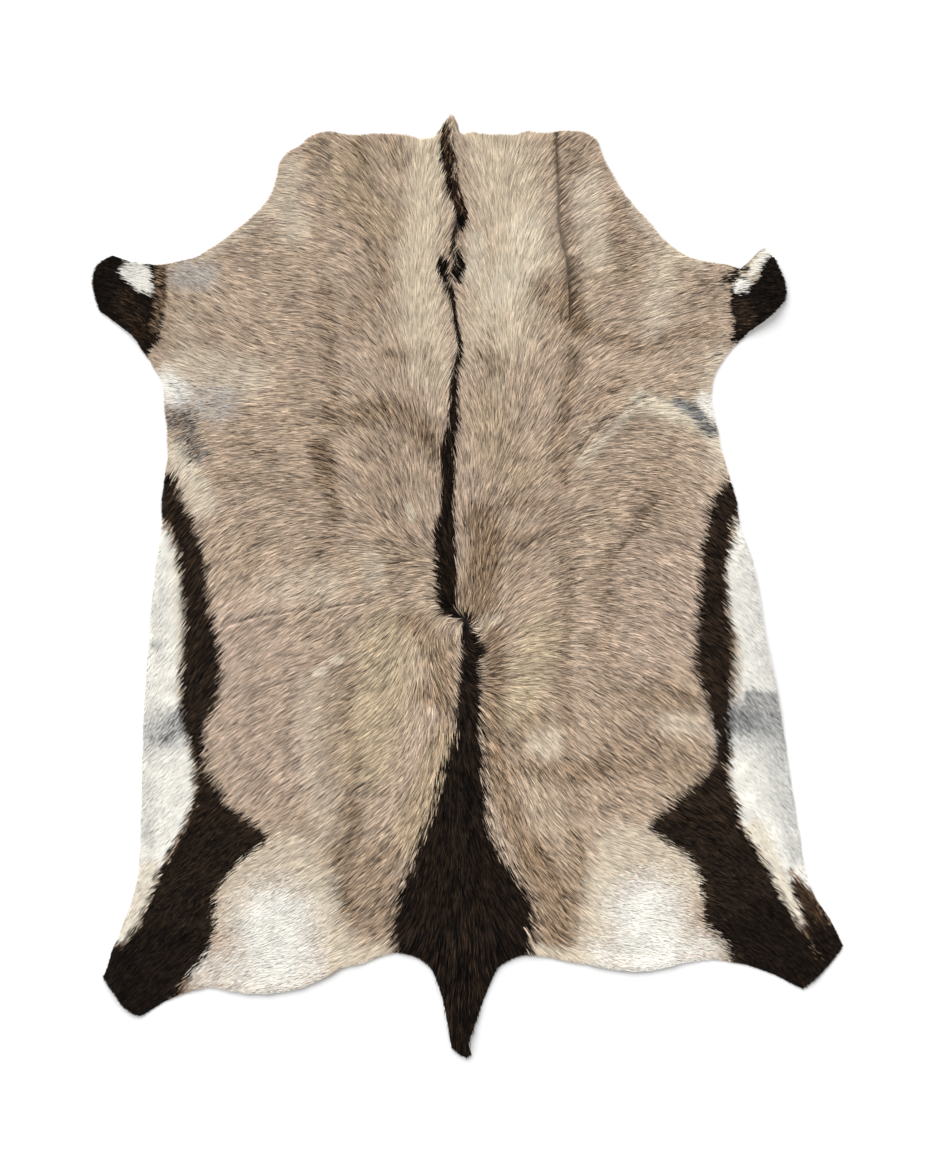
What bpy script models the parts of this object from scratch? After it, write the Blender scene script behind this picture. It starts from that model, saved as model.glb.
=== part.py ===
"""A tanned gemsbok hide with its coat on, lying hair side up, neck towards +Y and tail towards -Y.

The hide is one piece of skin, so it is one solid. Its outline is a ring of short runs, one for each
stretch of the cut edge. The skin is laid out flat inside that ring as a sheet of triangles, raised
into the folds, waves and curled feet of the hide, and then given the thickness of leather and coat.
Lengths in the tables are millimetres. The model is in metres.
"""

import math
from collections import namedtuple

import bmesh
import bpy
from mathutils import Matrix, Vector
from mathutils.geometry import delaunay_2d_cdt

MM = 0.001

# Driving sizes of the whole hide
EDGE_STEP = 17.0  # distance between points along the cut edge
SKIN_STEP = 29.0  # distance between points across the skin
FOLD_STEP = 26.0  # distance between points along a fold
EDGE_CLEARANCE = 12.0  # inner points stay this far from the cut edge
ROW_APART = 12.0  # least distance from a point of a fold to any other
WIDE_SLOPE = 36.0  # a fold's slope wider than this has a row of points along its middle
SKIN_APART = 18.0  # least distance from a point of the plain skin to any other
MERGE_CLOSER = 0.01  # points nearer than this become one

THICKNESS_MOST = 11.0  # skin and standing hair along the neck crest
THICKNESS_BODY = 4.5  # leather with the short coat lying on it
THICKNESS_BELLY = 3.0  # thin belly skin with sparse hair
CREST_HALF_WIDTH = 26.0
TAIL_HALF_WIDTH = 24.0
TAIL_SHARE = 0.6  # how much of the crest's extra thickness the tail has
BELLY_WIDTH = 55.0  # the thin skin reaches this far in from a flank's edge

Wave = namedtuple("Wave", "length start")

RIPPLE_HEIGHT = 1.5  # soft unevenness of a skin that was rolled up
RIPPLE_ACROSS = Wave(230.0, 0.6)
RIPPLE_ALONG = Wave(310.0, 1.7)
FLOOR_SHARE = 1.1  # how far the ripples sink into the flat, so that most of the skin lies on it
EDGE_RIPPLE = 0.45  # unevenness of the knife cut
EDGE_WAVES = (Wave(61.0, 0.0), Wave(22.6, 1.0))
FOLD_END = 0.2  # the share of a fold's length over which it dies out at each end
FOLD_END_HEIGHT = 0.35  # the share of its height that a fold still has at its end

COAT_COLOUR = (0.40, 0.32, 0.24, 1.0)  # fawn
COAT_ROUGHNESS = 0.75

Run = namedtuple("Run", "name points")

# The cut edge, clockwise from the left corner of the neck. A run is smooth, and runs meet at corners.
OUTLINE = [
    Run("neck cut, left", [(-260, 864), (-205, 856), (-158, 860), (-106, 854), (-91, 850), (-66, 852)]),
    Run("crest end", [(-66, 852), (-51, 873), (-38, 888), (-30, 895), (-21, 881), (-17, 865), (-10, 856)]),
    Run("neck cut, middle", [(-10, 856), (8, 861), (44, 858), (89, 857), (114, 867)]),
    Run("neck cut, right", [(114, 867), (119, 862), (137, 860), (163, 862), (169, 865), (213, 864)]),
    Run("right neck side", [(213, 864), (239, 852), (258, 807), (293, 748), (342, 691), (372, 656)]),
    Run("right shoulder", [(372, 656), (414, 628), (456, 617), (494, 611), (515, 603)]),
    Run("right foreleg, inner", [(515, 603), (540, 626), (562, 643), (574, 628), (581, 622)]),
    Run("right foreleg, end", [(581, 622), (587, 607), (600, 577), (599, 544), (585, 525)]),
    Run("right foreleg, outer", [(585, 525), (570, 512), (530, 482), (504, 458)]),
    Run("right armpit", [(504, 458), (467, 408), (460, 354), (469, 309), (483, 246), (509, 164)]),
    Run("right flank", [(509, 164), (513, 124), (542, 37), (560, -77), (583, -187), (604, -311)]),
    Run("right haunch", [(604, -311), (621, -428), (646, -561), (686, -630), (711, -680)]),
    Run("right hock cut", [(711, -680), (673, -729), (635, -763)]),
    Run("right rump", [(635, -763), (576, -734), (504, -712), (431, -709), (350, -727), (293, -729)]),
    Run("right of the tail", [(293, -729), (205, -713), (125, -698), (95, -700), (66, -712), (48, -732)]),
    Run("tail, right", [(48, -732), (21, -803), (0, -865), (6, -886)]),
    Run("tail tip", [(6, -886), (-4, -894), (-32, -873)]),
    Run("tail, left", [(-32, -873), (-44, -799), (-66, -729), (-101, -700), (-146, -693)]),
    Run("left rump", [(-146, -693), (-201, -715), (-232, -721), (-302, -755), (-388, -772), (-492, -758)]),
    Run("left hock, inner", [(-492, -758), (-562, -780), (-623, -815)]),
    Run("left hock cut", [(-623, -815), (-654, -795), (-692, -740)]),
    Run("left haunch", [(-692, -740), (-676, -693), (-654, -637), (-629, -558), (-621, -463)]),
    Run("left flank", [(-621, -463), (-619, -358), (-614, -216), (-606, -102), (-597, 5), (-580, 128)]),
    Run("left armpit", [(-580, 128), (-581, 170), (-570, 250), (-572, 316), (-581, 392)]),
    Run("left foreleg, outer", [(-581, 392), (-604, 428), (-629, 466), (-654, 491), (-699, 524)]),
    Run("left foreleg, end", [(-699, 524), (-705, 541), (-712, 577), (-707, 601), (-695, 617), (-674, 628)]),
    Run("left foreleg, inner", [(-674, 628), (-638, 617), (-598, 612), (-574, 614), (-517, 626)]),
    Run("left neck side", [(-517, 626), (-460, 661), (-399, 712), (-369, 753), (-357, 805)]),
    Run("ragged corner", [(-357, 805), (-342, 824), (-319, 837), (-302, 852), (-285, 860), (-260, 864)]),
]

# A fold's crest runs along its path, and left and right are the widths of its two slopes, seen along the
# path. The long folds run from tail to neck, so their left slope is on the hide's left.
Fold = namedtuple("Fold", "name height left right path")

FOLDS = [
    Fold("long neck fold", 11, 55, 18, [(170, 190), (194, 354), (190, 487), (175, 640), (160, 870)]),
    Fold("second neck fold", 6, 60, 60, [(300, 330), (276, 460), (262, 620), (240, 760)]),
    Fold("left shoulder wave", 9, 80, 46, [(-312, 30), (-296, 164), (-304, 316), (-300, 487), (-285, 640)]),
    Fold("left neck wave", 6, 50, 34, [(-225, 690), (-200, 770), (-190, 870)]),
    Fold("left corner crease", 5, 26, 20, [(-292, 785), (-280, 820), (-268, 872)]),
    Fold("left loin wave", 6, 70, 40, [(-272, -600), (-262, -400), (-270, -200), (-272, -60)]),
    Fold("right loin wave", 7, 60, 44, [(160, -470), (158, -260), (152, -60), (150, 90)]),
    Fold("left cross crease", 3, 12, 34, [(-186, -34), (-283, -44), (-384, -57), (-470, -74)]),
    Fold("right shoulder pucker", 7, 44, 18, [(455, 318), (318, 338), (262, 309), (222, 259), (204, 200)]),
    Fold("right flank wave", 5, 50, 30, [(240, 20), (256, 80), (296, 134), (345, 190)]),
    Fold("right loin pleat", 5, 40, 34, [(430, -205), (340, -166), (260, -130), (184, -66)]),
    Fold("small right pleat", 3, 34, 28, [(92, -284), (124, -252), (162, -222)]),
    Fold("left haunch wave", 4, 50, 50, [(-440, -330), (-340, -420), (-230, -520)]),
    Fold("rump fold", 8, 26, 40, [(-22, -700), (-16, -600), (-12, -500), (-8, -400)]),
    Fold("tail ridge", 11, 30, 30, [(-2, -886), (-18, -820), (-24, -740), (-22, -660)]),
    Fold("left foreleg ridge", 12, 44, 60, [(-600, 470), (-640, 530), (-676, 590)]),
    Fold("left foreleg rim", 10, 30, 30, [(-718, 550), (-712, 606), (-676, 634), (-620, 616)]),
    Fold("right foreleg ridge", 24, 30, 17, [(562, 645), (572, 600), (580, 556), (560, 510), (530, 470)]),
    Fold("right foreleg flap", 14, 20, 14, [(562, 648), (541, 610), (522, 568)]),
    Fold("left shank fold", 12, 26, 22, [(-667, -784), (-657, -734), (-662, -679), (-652, -640)]),
    Fold("left hock rim", 8, 24, 24, [(-700, -740), (-660, -796), (-620, -822)]),
    Fold("right hock wave", 8, 40, 40, [(560, -560), (620, -650), (652, -740)]),
    Fold("right belly flare", 7, 40, 24, [(606, -280), (586, -170), (562, -60), (548, 20)]),
    Fold("left belly flare", 8, 22, 40, [(-624, -380), (-616, -200), (-602, 0), (-588, 100)]),
    Fold("left rump scallop", 7, 34, 34, [(-520, -768), (-400, -782), (-300, -764), (-210, -724)]),
    Fold("right rump scallop", 7, 34, 34, [(200, -716), (300, -738), (360, -734), (440, -714)]),
    Fold("left neck rim", 5, 30, 30, [(-500, 640), (-400, 722), (-366, 790), (-320, 842)]),
    Fold("right neck rim", 5, 30, 30, [(250, 850), (300, 746), (380, 656), (450, 622)]),
    Fold("left hollow of the arm", 4, 60, 60, [(-590, 260), (-520, 300), (-440, 330)]),
]

# The crest of longer hair runs down the neck; the tail is thick too.
CREST_PATH = [(-34, 890), (-34, 780), (-16, 690), (-22, 620), (-28, 590)]
TAIL_PATH = [(-24, -690), (-20, -800), (-6, -886)]
# The belly edges, where the skin is thin
BELLY_PATHS = [
    [(-580, 128), (-600, 0), (-614, -216), (-621, -463)],
    [(513, 124), (545, 20), (583, -187), (630, -480)],
]


def curve_between(before, start, end, after, share):
    """A point between start and end on the smooth curve that also passes before and after."""
    square = share * share
    cube = square * share
    return tuple(
        0.5
        * (
            2 * start[k]
            + (end[k] - before[k]) * share
            + (2 * before[k] - 5 * start[k] + 4 * end[k] - after[k]) * square
            + (3 * start[k] - before[k] - 3 * end[k] + after[k]) * cube
        )
        for k in (0, 1)
    )


def smooth_run(points, step):
    """Points about step apart on a smooth curve through the given ones, without the last."""
    run = []
    for i in range(len(points) - 1):
        before = points[max(i - 1, 0)]
        after = points[min(i + 2, len(points) - 1)]
        count = max(1, round(math.dist(points[i], points[i + 1]) / step))
        for k in range(count):
            run.append(curve_between(before, points[i], points[i + 1], after, k / count))
    return run


def wave_at(wave, place):
    """A wave's height at a place, from -1 to 1."""
    return math.sin(2 * math.pi * place / wave.length + wave.start)


def cut_edge():
    """The whole outline as one ring of points, with the small unevenness of the knife."""
    ring = []
    for run in OUTLINE:
        ring.extend(smooth_run(run.points, EDGE_STEP))
    uneven = []
    travelled = 0.0
    for i, (x, y) in enumerate(ring):
        last = ring[i - 1]
        following = ring[(i + 1) % len(ring)]
        travelled += math.dist(last, (x, y)) if i else 0.0
        along_x = following[0] - last[0]
        along_y = following[1] - last[1]
        length = math.hypot(along_x, along_y)
        shift = EDGE_RIPPLE * sum(wave_at(wave, travelled) for wave in EDGE_WAVES)
        uneven.append((x - shift * along_y / length, y + shift * along_x / length))
    return uneven


def from_path(x, y, path):
    """Signed distance from a path, positive on its left, and how far along the nearest point is."""
    best = (math.inf, 0.0, 0.0)
    passed = 0.0
    for (ax, ay), (bx, by) in zip(path, path[1:]):
        dx = bx - ax
        dy = by - ay
        length = math.hypot(dx, dy)
        share = ((x - ax) * dx + (y - ay) * dy) / (length * length)
        share = min(1.0, max(0.0, share))
        distance = math.hypot(x - ax - share * dx, y - ay - share * dy)
        if distance < best[0]:
            side = math.copysign(1.0, dx * (y - ay) - dy * (x - ax))
            best = (distance, side, passed + share * length)
        passed += length
    return best[0] * best[1], best[2], passed


def hump(share):
    """A smooth rise from 0 at share 1 to 1 at share 0."""
    return 0.5 + 0.5 * math.cos(math.pi * min(1.0, abs(share)))


def fold_rise(fold, x, y):
    """How far one fold lifts the skin at a place."""
    away, along, length = from_path(x, y, fold.path)
    width = fold.left if away > 0 else fold.right
    if abs(away) >= width:
        return 0.0
    rise = 1.0 - hump(min(along, length - along) / (FOLD_END * length))
    return fold.height * (FOLD_END_HEIGHT + (1.0 - FOLD_END_HEIGHT) * rise) * hump(away / width)


def underside(x, y):
    """Height of the flesh side above the floor. It is 0 over most of the hide, which lies flat there."""
    ripple = RIPPLE_HEIGHT * (wave_at(RIPPLE_ACROSS, x) + wave_at(RIPPLE_ALONG, y) - FLOOR_SHARE)
    return max(0.0, ripple) + sum(fold_rise(fold, x, y) for fold in FOLDS)


def share_near(x, y, path, reach):
    """1 on a path, falling to 0 at reach."""
    return hump(from_path(x, y, path)[0] / reach)


def thickness(x, y):
    """Thickness of skin and coat together at a place."""
    crest = share_near(x, y, CREST_PATH, CREST_HALF_WIDTH)
    tail = share_near(x, y, TAIL_PATH, TAIL_HALF_WIDTH)
    belly = max(share_near(x, y, path, BELLY_WIDTH) for path in BELLY_PATHS)
    thick = THICKNESS_BODY + (THICKNESS_BELLY - THICKNESS_BODY) * belly
    return thick + (THICKNESS_MOST - THICKNESS_BODY) * max(crest, TAIL_SHARE * tail)


def inside(x, y, ring):
    """Whether a place lies within the ring, by counting the edges to its right."""
    within = False
    for i, (bx, by) in enumerate(ring):
        ax, ay = ring[i - 1]
        if (ay > y) != (by > y) and x < ax + (y - ay) / (by - ay) * (bx - ax):
            within = not within
    return within


def fold_rows(fold):
    """Rows of points along a fold: its crest, the foot of each slope and the middle of a wide one."""
    crest = smooth_run(fold.path, FOLD_STEP) + [fold.path[-1]]
    offsets = [0.0, fold.left, -fold.right]
    offsets += [width / 2 for width in offsets if abs(width) > WIDE_SLOPE]
    rows = []
    for offset in offsets:
        row = []
        for i, (x, y) in enumerate(crest):
            ax, ay = crest[max(i - 1, 0)]
            bx, by = crest[min(i + 1, len(crest) - 1)]
            length = math.hypot(bx - ax, by - ay)
            row.append((x - offset * (by - ay) / length, y + offset * (bx - ax) / length))
        rows.append(row)
    return rows


def grid_points(ring):
    """Points in staggered rows over the ring's whole extent."""
    left = min(p[0] for p in ring)
    right = max(p[0] for p in ring)
    low = min(p[1] for p in ring)
    high = max(p[1] for p in ring)
    row_step = SKIN_STEP * math.sqrt(0.75)
    points = []
    for row in range(int((high - low) / row_step) + 1):
        shift = SKIN_STEP / 2 if row % 2 else 0.0
        for column in range(int((right - left) / SKIN_STEP) + 1):
            points.append((left + shift + column * SKIN_STEP, low + row * row_step))
    return points


def flat_skin():
    """Places and triangles of the skin laid out flat. Triangle sides follow the edge and the crests."""
    ring = cut_edge()
    places = list(ring)
    sides = [(i, (i + 1) % len(ring)) for i in range(len(ring))]

    def add(point, apart):
        """Adds a point inside the ring and returns its number, or that of one already nearer than apart."""
        if not inside(*point, ring) or min(math.dist(point, p) for p in ring) < EDGE_CLEARANCE:
            return None
        nearest = min(range(len(places)), key=lambda i: math.dist(point, places[i]))
        if math.dist(point, places[nearest]) < apart:
            return nearest
        places.append(point)
        return len(places) - 1

    rows = [row for fold in FOLDS for row in fold_rows(fold)]
    for row in rows:
        numbers = [add(point, ROW_APART) for point in row]
        for pair in zip(numbers, numbers[1:]):
            if None not in pair and pair[0] != pair[1]:
                sides.append(pair)
    for point in grid_points(ring):
        add(point, SKIN_APART)
    points, _, faces, *_ = delaunay_2d_cdt([Vector(p) for p in places], sides, [], 1, MERGE_CLOSER)
    return points, faces


def hide_material():
    """Fawn coat hair: dull, with no shine but along its tips."""
    material = bpy.data.materials.new("gemsbok coat")
    material.use_nodes = True
    shader = material.node_tree.nodes["Principled BSDF"]
    shader.inputs["Base Color"].default_value = COAT_COLOUR
    shader.inputs["Roughness"].default_value = COAT_ROUGHNESS
    shader.inputs["Metallic"].default_value = 0.0
    return material


def centre_hide(hide):
    """Shifts the hide's mesh so that the middle of its length and width is over the origin."""
    bpy.context.view_layer.update()
    thick = hide.evaluated_get(bpy.context.evaluated_depsgraph_get())
    corners = [Vector(corner) for corner in thick.bound_box]
    middle = (corners[0] + corners[6]) / 2
    hide.data.transform(Matrix.Translation((-middle.x, -middle.y, 0.0)))


def make_hide(collection):
    """The hide: its flesh side as an open sheet, thickened upwards by leather and coat."""
    points, faces = flat_skin()
    mesh = bpy.data.meshes.new("hide")
    sheet = bmesh.new()
    vertices = [sheet.verts.new((p.x * MM, p.y * MM, underside(p.x, p.y) * MM)) for p in points]
    for face in faces:
        sheet.faces.new([vertices[i] for i in face])
    bmesh.ops.recalc_face_normals(sheet, faces=sheet.faces)
    if sum(face.normal.z for face in sheet.faces) < 0:
        bmesh.ops.reverse_faces(sheet, faces=sheet.faces)
    sheet.to_mesh(mesh)
    sheet.free()

    hide = bpy.data.objects.new("hide", mesh)
    collection.objects.link(hide)
    hide.data.materials.append(hide_material())
    group = hide.vertex_groups.new(name="thickness")
    for i, p in enumerate(points):
        group.add([i], thickness(p.x, p.y) / THICKNESS_MOST, "REPLACE")
    body = hide.modifiers.new("leather and coat", "SOLIDIFY")
    body.thickness = THICKNESS_MOST * MM
    body.offset = 1.0
    body.use_rim = True
    body.use_even_offset = False
    body.vertex_group = group.name
    mesh.shade_smooth()
    centre_hide(hide)


def main():
    """Clears the file and makes the hide in a collection of its own."""
    for thing in list(bpy.data.objects):
        bpy.data.objects.remove(thing)
    collection = bpy.data.collections.new("gemsbok hide")
    bpy.context.scene.collection.children.link(collection)
    make_hide(collection)


main()
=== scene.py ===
"""A gemsbok hide laid flat, hair side up: tanned skin, lying coat, neck crest and tail."""

import logging
import math
from collections.abc import Mapping, Sequence
from dataclasses import dataclass, field
from enum import Enum
from typing import NamedTuple

import bpy
import numpy as np
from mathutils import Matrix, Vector
from mathutils.bvhtree import BVHTree
from mathutils.geometry import delaunay_2d_cdt
from mathutils.kdtree import KDTree


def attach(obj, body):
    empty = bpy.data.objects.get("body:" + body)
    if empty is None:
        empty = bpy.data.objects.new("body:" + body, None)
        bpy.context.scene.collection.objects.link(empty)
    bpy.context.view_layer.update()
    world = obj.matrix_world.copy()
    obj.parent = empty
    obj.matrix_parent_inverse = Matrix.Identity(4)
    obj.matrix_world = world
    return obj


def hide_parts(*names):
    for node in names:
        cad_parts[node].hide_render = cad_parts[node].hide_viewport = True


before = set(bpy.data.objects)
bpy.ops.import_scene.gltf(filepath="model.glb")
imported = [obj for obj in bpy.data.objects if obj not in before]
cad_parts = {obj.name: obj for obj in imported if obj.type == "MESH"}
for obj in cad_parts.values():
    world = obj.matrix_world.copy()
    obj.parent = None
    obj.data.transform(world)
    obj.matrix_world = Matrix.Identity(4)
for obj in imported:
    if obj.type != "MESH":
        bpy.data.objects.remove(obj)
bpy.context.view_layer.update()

log = logging.getLogger("hide")

MM = 0.001
TINY = 1e-9

# Half the width and length of the noises' lattice in millimetres, which covers the whole hide
HALF_SPAN = 1100
# Millimetres between the points of a smoothed ring or line
RING_STEP = 9
# Millimetres that no crisp edge is pushed out past
EDGE_PUSH = 20
# The larger it is, the wider the part of a patch that has its full strength
PLATEAU = 1.3
# How the sheet's points are joined: only inside the ring, and as one where they are this near
INSIDE_ONLY = 1
JOIN_GAP = 0.01
# The chance that stands for the middle one of all locks
MIDDLE_CHANCE = 0.5

Point = tuple[float, float]
Path = Sequence[Point]


def linear(colour: str) -> np.ndarray:
    """Turn six sRGB hex digits into linear red, green and blue from 0 to 1, by the sRGB curve."""
    parts = np.array([int(colour[i:i + 2], 16) for i in (0, 2, 4)]) / 255
    return np.where(parts <= 0.04045, parts / 12.92, ((parts + 0.055) / 1.055) ** 2.4)


def add_node(tree: bpy.types.NodeTree, kind: str, inputs: Mapping[str, object] | None = None,
             **settings: object) -> bpy.types.Node:
    """Add a node to a tree with its settings, values and links.

    Args:
        tree: the tree that the node joins.
        kind: the node's type.
        inputs: a value, or another node's output, for each input by its identifier.
        settings: the node's own settings by name.

    Returns:
        The new node.
    """
    node = tree.nodes.new(kind)
    for name, value in settings.items():
        setattr(node, name, value)
    sockets = {socket.identifier: socket for socket in node.inputs}
    for name, value in (inputs or {}).items():
        if isinstance(value, bpy.types.NodeSocket):
            tree.links.new(value, sockets[name])
        else:
            sockets[name].default_value = value
    return node


def add_object(name: str, data: bpy.types.ID) -> bpy.types.Object:
    """Put a mesh, a lamp or a camera in the scene.

    Args:
        name: the object's name.
        data: what it shows.

    Returns:
        The object, at the origin.
    """
    made = bpy.data.objects.new(name, data)
    bpy.context.scene.collection.objects.link(made)
    return made


def smooth_path(path: Path | np.ndarray, step: float, closed: bool = False) -> np.ndarray:
    """Run a smooth curve through a path's points.

    Args:
        path: the points, each an x and a y.
        step: the distance between the curve's points.
        closed: whether the path is a ring.

    Returns:
        The curve's points, one row each; a ring's first point isn't repeated.
    """
    marks = np.array(path, dtype=float)
    if closed:
        marks = np.vstack([marks[-1:], marks, marks[:2]])
    else:
        marks = np.vstack([2 * marks[:1] - marks[1:2], marks, 2 * marks[-1:] - marks[-2:-1]])
    runs = []
    for before, start, end, after in zip(marks, marks[1:], marks[2:], marks[3:]):
        count = max(1, round(float(np.linalg.norm(end - start)) / step))
        share = np.arange(count)[:, None] / count
        bend = (2 * before - 5 * start + 4 * end - after) * share ** 2
        twist = (3 * start - before - 3 * end + after) * share ** 3
        runs.append(start + ((end - before) * share + bend + twist) / 2)
    if not closed:
        runs.append(marks[-2:-1])
    return np.vstack(runs)


def from_path(spots: np.ndarray, path: np.ndarray) -> tuple[np.ndarray, np.ndarray]:
    """Measure each spot's distance from a path, and the place along it that is nearest.

    Args:
        spots: the spots, one row each.
        path: the path's points, one row each.

    Returns:
        The distances, and the places as the number of points passed and the share of the next step.
    """
    distance = np.full(len(spots), np.inf)
    place = np.zeros(len(spots))
    if len(path) == 1:
        return np.hypot(*(spots - path[0]).T), place
    for i, (start, end) in enumerate(zip(path, path[1:])):
        along = end - start
        share = np.clip((spots - start) @ along / max(float(along @ along), TINY), 0, 1)
        gap = np.hypot(*(spots - start - share[:, None] * along).T)
        nearer = gap < distance
        distance[nearer] = gap[nearer]
        place[nearer] = i + share[nearer]
    return distance, place


def near(spots: np.ndarray, path: np.ndarray, reach: float) -> np.ndarray:
    """Give the numbers of the spots in a path's box, widened by a reach."""
    inside = (spots > path.min(axis=0) - reach) & (spots < path.max(axis=0) + reach)
    return np.flatnonzero(inside.all(axis=1))


def depth_in(spots: np.ndarray, ring: np.ndarray) -> np.ndarray:
    """Measure how deep each spot lies inside a ring.

    Args:
        spots: the spots, one row each.
        ring: the ring's points, one row each.

    Returns:
        The distances from the ring, below zero outside it.
    """
    closed = np.vstack([ring, ring[:1]])
    inside = np.zeros(len(spots), dtype=bool)
    x, y = spots.T
    for (x0, y0), (x1, y1) in zip(closed, closed[1:]):
        if y0 != y1:
            crossed = (y0 > y) != (y1 > y)
            inside ^= crossed & (x < (x1 - x0) * (y - y0) / (y1 - y0) + x0)
    distance, _ = from_path(spots, closed)
    return np.where(inside, distance, -distance)


def from_points(spots: np.ndarray, others: np.ndarray) -> np.ndarray:
    """Measure each spot's distance from the nearest of other points.

    Args:
        spots: the spots, one row each.
        others: the other points, one row each.

    Returns:
        The distances.
    """
    tree = KDTree(len(others))
    for i, (x, y) in enumerate(others):
        tree.insert((x, y, 0), i)
    tree.balance()
    return np.array([tree.find((x, y, 0))[2] for x, y in spots])


def from_spine(spots: np.ndarray) -> np.ndarray:
    """Measure how far each spot lies to the right of the spine."""
    spine = np.array(SPINE, dtype=float)
    return spots[:, 0] - np.interp(spots[:, 1], spine[:, 1], spine[:, 0])


def rim_of(faces: np.ndarray) -> list[tuple[int, int]]:
    """Give the sides that only one of the triangles has, each as it runs in that triangle."""
    sides = {(a, b) for face in faces.tolist() for a, b in zip(face, face[1:] + face[:1])}
    return sorted((a, b) for a, b in sides if (b, a) not in sides)


def soft_noise(spots: np.ndarray, cell: float, seed: int) -> np.ndarray:
    """Give smooth noise over the hide.

    Args:
        spots: the spots, one row each, in millimetres.
        cell: the noise's grain in millimetres.
        seed: the noise's own number.

    Returns:
        A value from -1 to 1 for each spot.
    """
    count = math.ceil(2 * HALF_SPAN / cell) + 2
    lattice = np.random.default_rng(seed).uniform(-1, 1, (count, count))
    place = (spots + HALF_SPAN) / cell
    corner = np.clip(place.astype(int), 0, count - 2)
    share = place - corner
    share = share * share * (3 - 2 * share)
    i, j = corner.T
    across, up = share.T
    low = lattice[i, j] * (1 - across) + lattice[i + 1, j] * across
    high = lattice[i, j + 1] * (1 - across) + lattice[i + 1, j + 1] * across
    return low * (1 - up) + high * up


def paint(mesh: bpy.types.Mesh, colours: np.ndarray) -> None:
    """Store colours on a mesh's points as its tone attribute.

    Args:
        mesh: the mesh.
        colours: linear red, green and blue for each point.
    """
    tone = mesh.color_attributes.new("tone", "BYTE_COLOR", "POINT")
    full = np.column_stack([np.clip(colours, 0, 1), np.ones(len(colours))])
    tone.data.foreach_set("color", full.astype(np.float32).ravel())


class Side(Enum):
    """A side of the spine, with the sign of x there."""

    LEFT = -1
    RIGHT = 1


class Tone(Enum):
    """The colours of the coat, as sRGB hex values; the umber is also laid as painted shade in the hide's
    hollows and folds.
    """

    FAWN = "C4AF9A"
    STRAW = "E4D5BD"
    SAND = "CBB99B"
    TAN = "B9A486"
    ROSE = "C9B4A3"
    # A brown of the coat, and also the painted shade in the hide's hollows, along its folds and on shaded
    # slopes
    UMBER = "8F7860"
    CREAM = "EADFCB"
    WHITE = "F7F4EC"
    ASH = "C2C1BE"
    SLATE = "7C7D7D"
    BLACK = "241B13"
    SABLE = "1A120C"
    SOOT = "17100B"
    BROWN = "54402F"


class Spots(NamedTuple):
    """Places on the hide, in millimetres, and what makes the lock at each its own.

    Chance, from 0 to 1, settles where single locks differ. The edges of crisp areas are pushed out by
    ragged, and by stray for each lock alone.
    """

    at: np.ndarray
    chance: np.ndarray
    ragged: np.ndarray
    stray: np.ndarray


class Patch(NamedTuple):
    """A soft patch of colour round a path, in millimetres: the coat's own colour, and in the hide's hollows
    and along its folds painted shade.

    Speckle is the part of it that turns single locks and not the whole ground.
    """

    name: str
    tone: Tone
    strength: float
    reach: float
    path: Path
    speckle: float = 0.2

    def away(self, at: np.ndarray) -> np.ndarray:
        """Measure each place's distance from the patch's path."""
        return from_path(at, np.array(self.path, dtype=float))[0]

    def lay(self, colour: np.ndarray, spots: Spots) -> None:
        """Mix the patch into the colours.

        Args:
            colour: the colours, changed in place.
            spots: their spots.
        """
        some = near(spots.at, np.array(self.path), self.reach)
        share = np.clip(PLATEAU * (1 - self.away(spots.at[some]) / self.reach), 0, 1)
        share = self.strength * share * share * (3 - 2 * share)
        single = (spots.chance[some] < share).astype(float)
        share = share * (1 - self.speckle) + single * self.speckle
        colour[some] += (linear(self.tone.value) - colour[some]) * share[:, None]


class Area(NamedTuple):
    """A crisp area of colour, in millimetres; with more fray, single locks cross its edge farther."""

    name: str
    tone: Tone
    ring: Path
    fray: float = 1.0

    def depth(self, at: np.ndarray) -> np.ndarray:
        """Measure how deep each place lies inside the area's smoothed ring."""
        return depth_in(at, smooth_path(self.ring, RING_STEP, closed=True))

    def lay(self, colour: np.ndarray, spots: Spots) -> None:
        """Lay the area over the colours.

        Args:
            colour: the colours, changed in place.
            spots: their spots.
        """
        some = near(spots.at, smooth_path(self.ring, RING_STEP, closed=True), EDGE_PUSH)
        inside = self.depth(spots.at[some]) + spots.ragged[some] + self.fray * spots.stray[some] > 0
        colour[some[inside]] = linear(self.tone.value)


class Crease(NamedTuple):
    """A fine crease: its height, half its width, the painted shade along it and how far that goes; below
    zero the shade is a painted highlight on a ridge, and on cracks and marks it is their own dark colour.
    """

    name: str
    height: float
    reach: float
    shade: float
    shade_reach: float
    path: Path

    def lay(self, colour: np.ndarray, spots: Spots) -> None:
        """Paint shade into the coat along the crease, and a highlight where the shade is below zero; on
        cracks and marks this is their dark colour.

        Args:
            colour: the colours, changed in place.
            spots: their spots.
        """
        path = smooth_path(self.path, RING_STEP)
        some = near(spots.at, path, 3 * self.shade_reach)
        distance, _ = from_path(spots.at[some], path)
        colour[some] *= (1 - self.shade * np.exp(-(distance / self.shade_reach) ** 2))[:, None]


class Stop(NamedTuple):
    """A place on the spine stripe and the stripe's width there, in millimetres."""

    x: float
    y: float
    width: float


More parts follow.
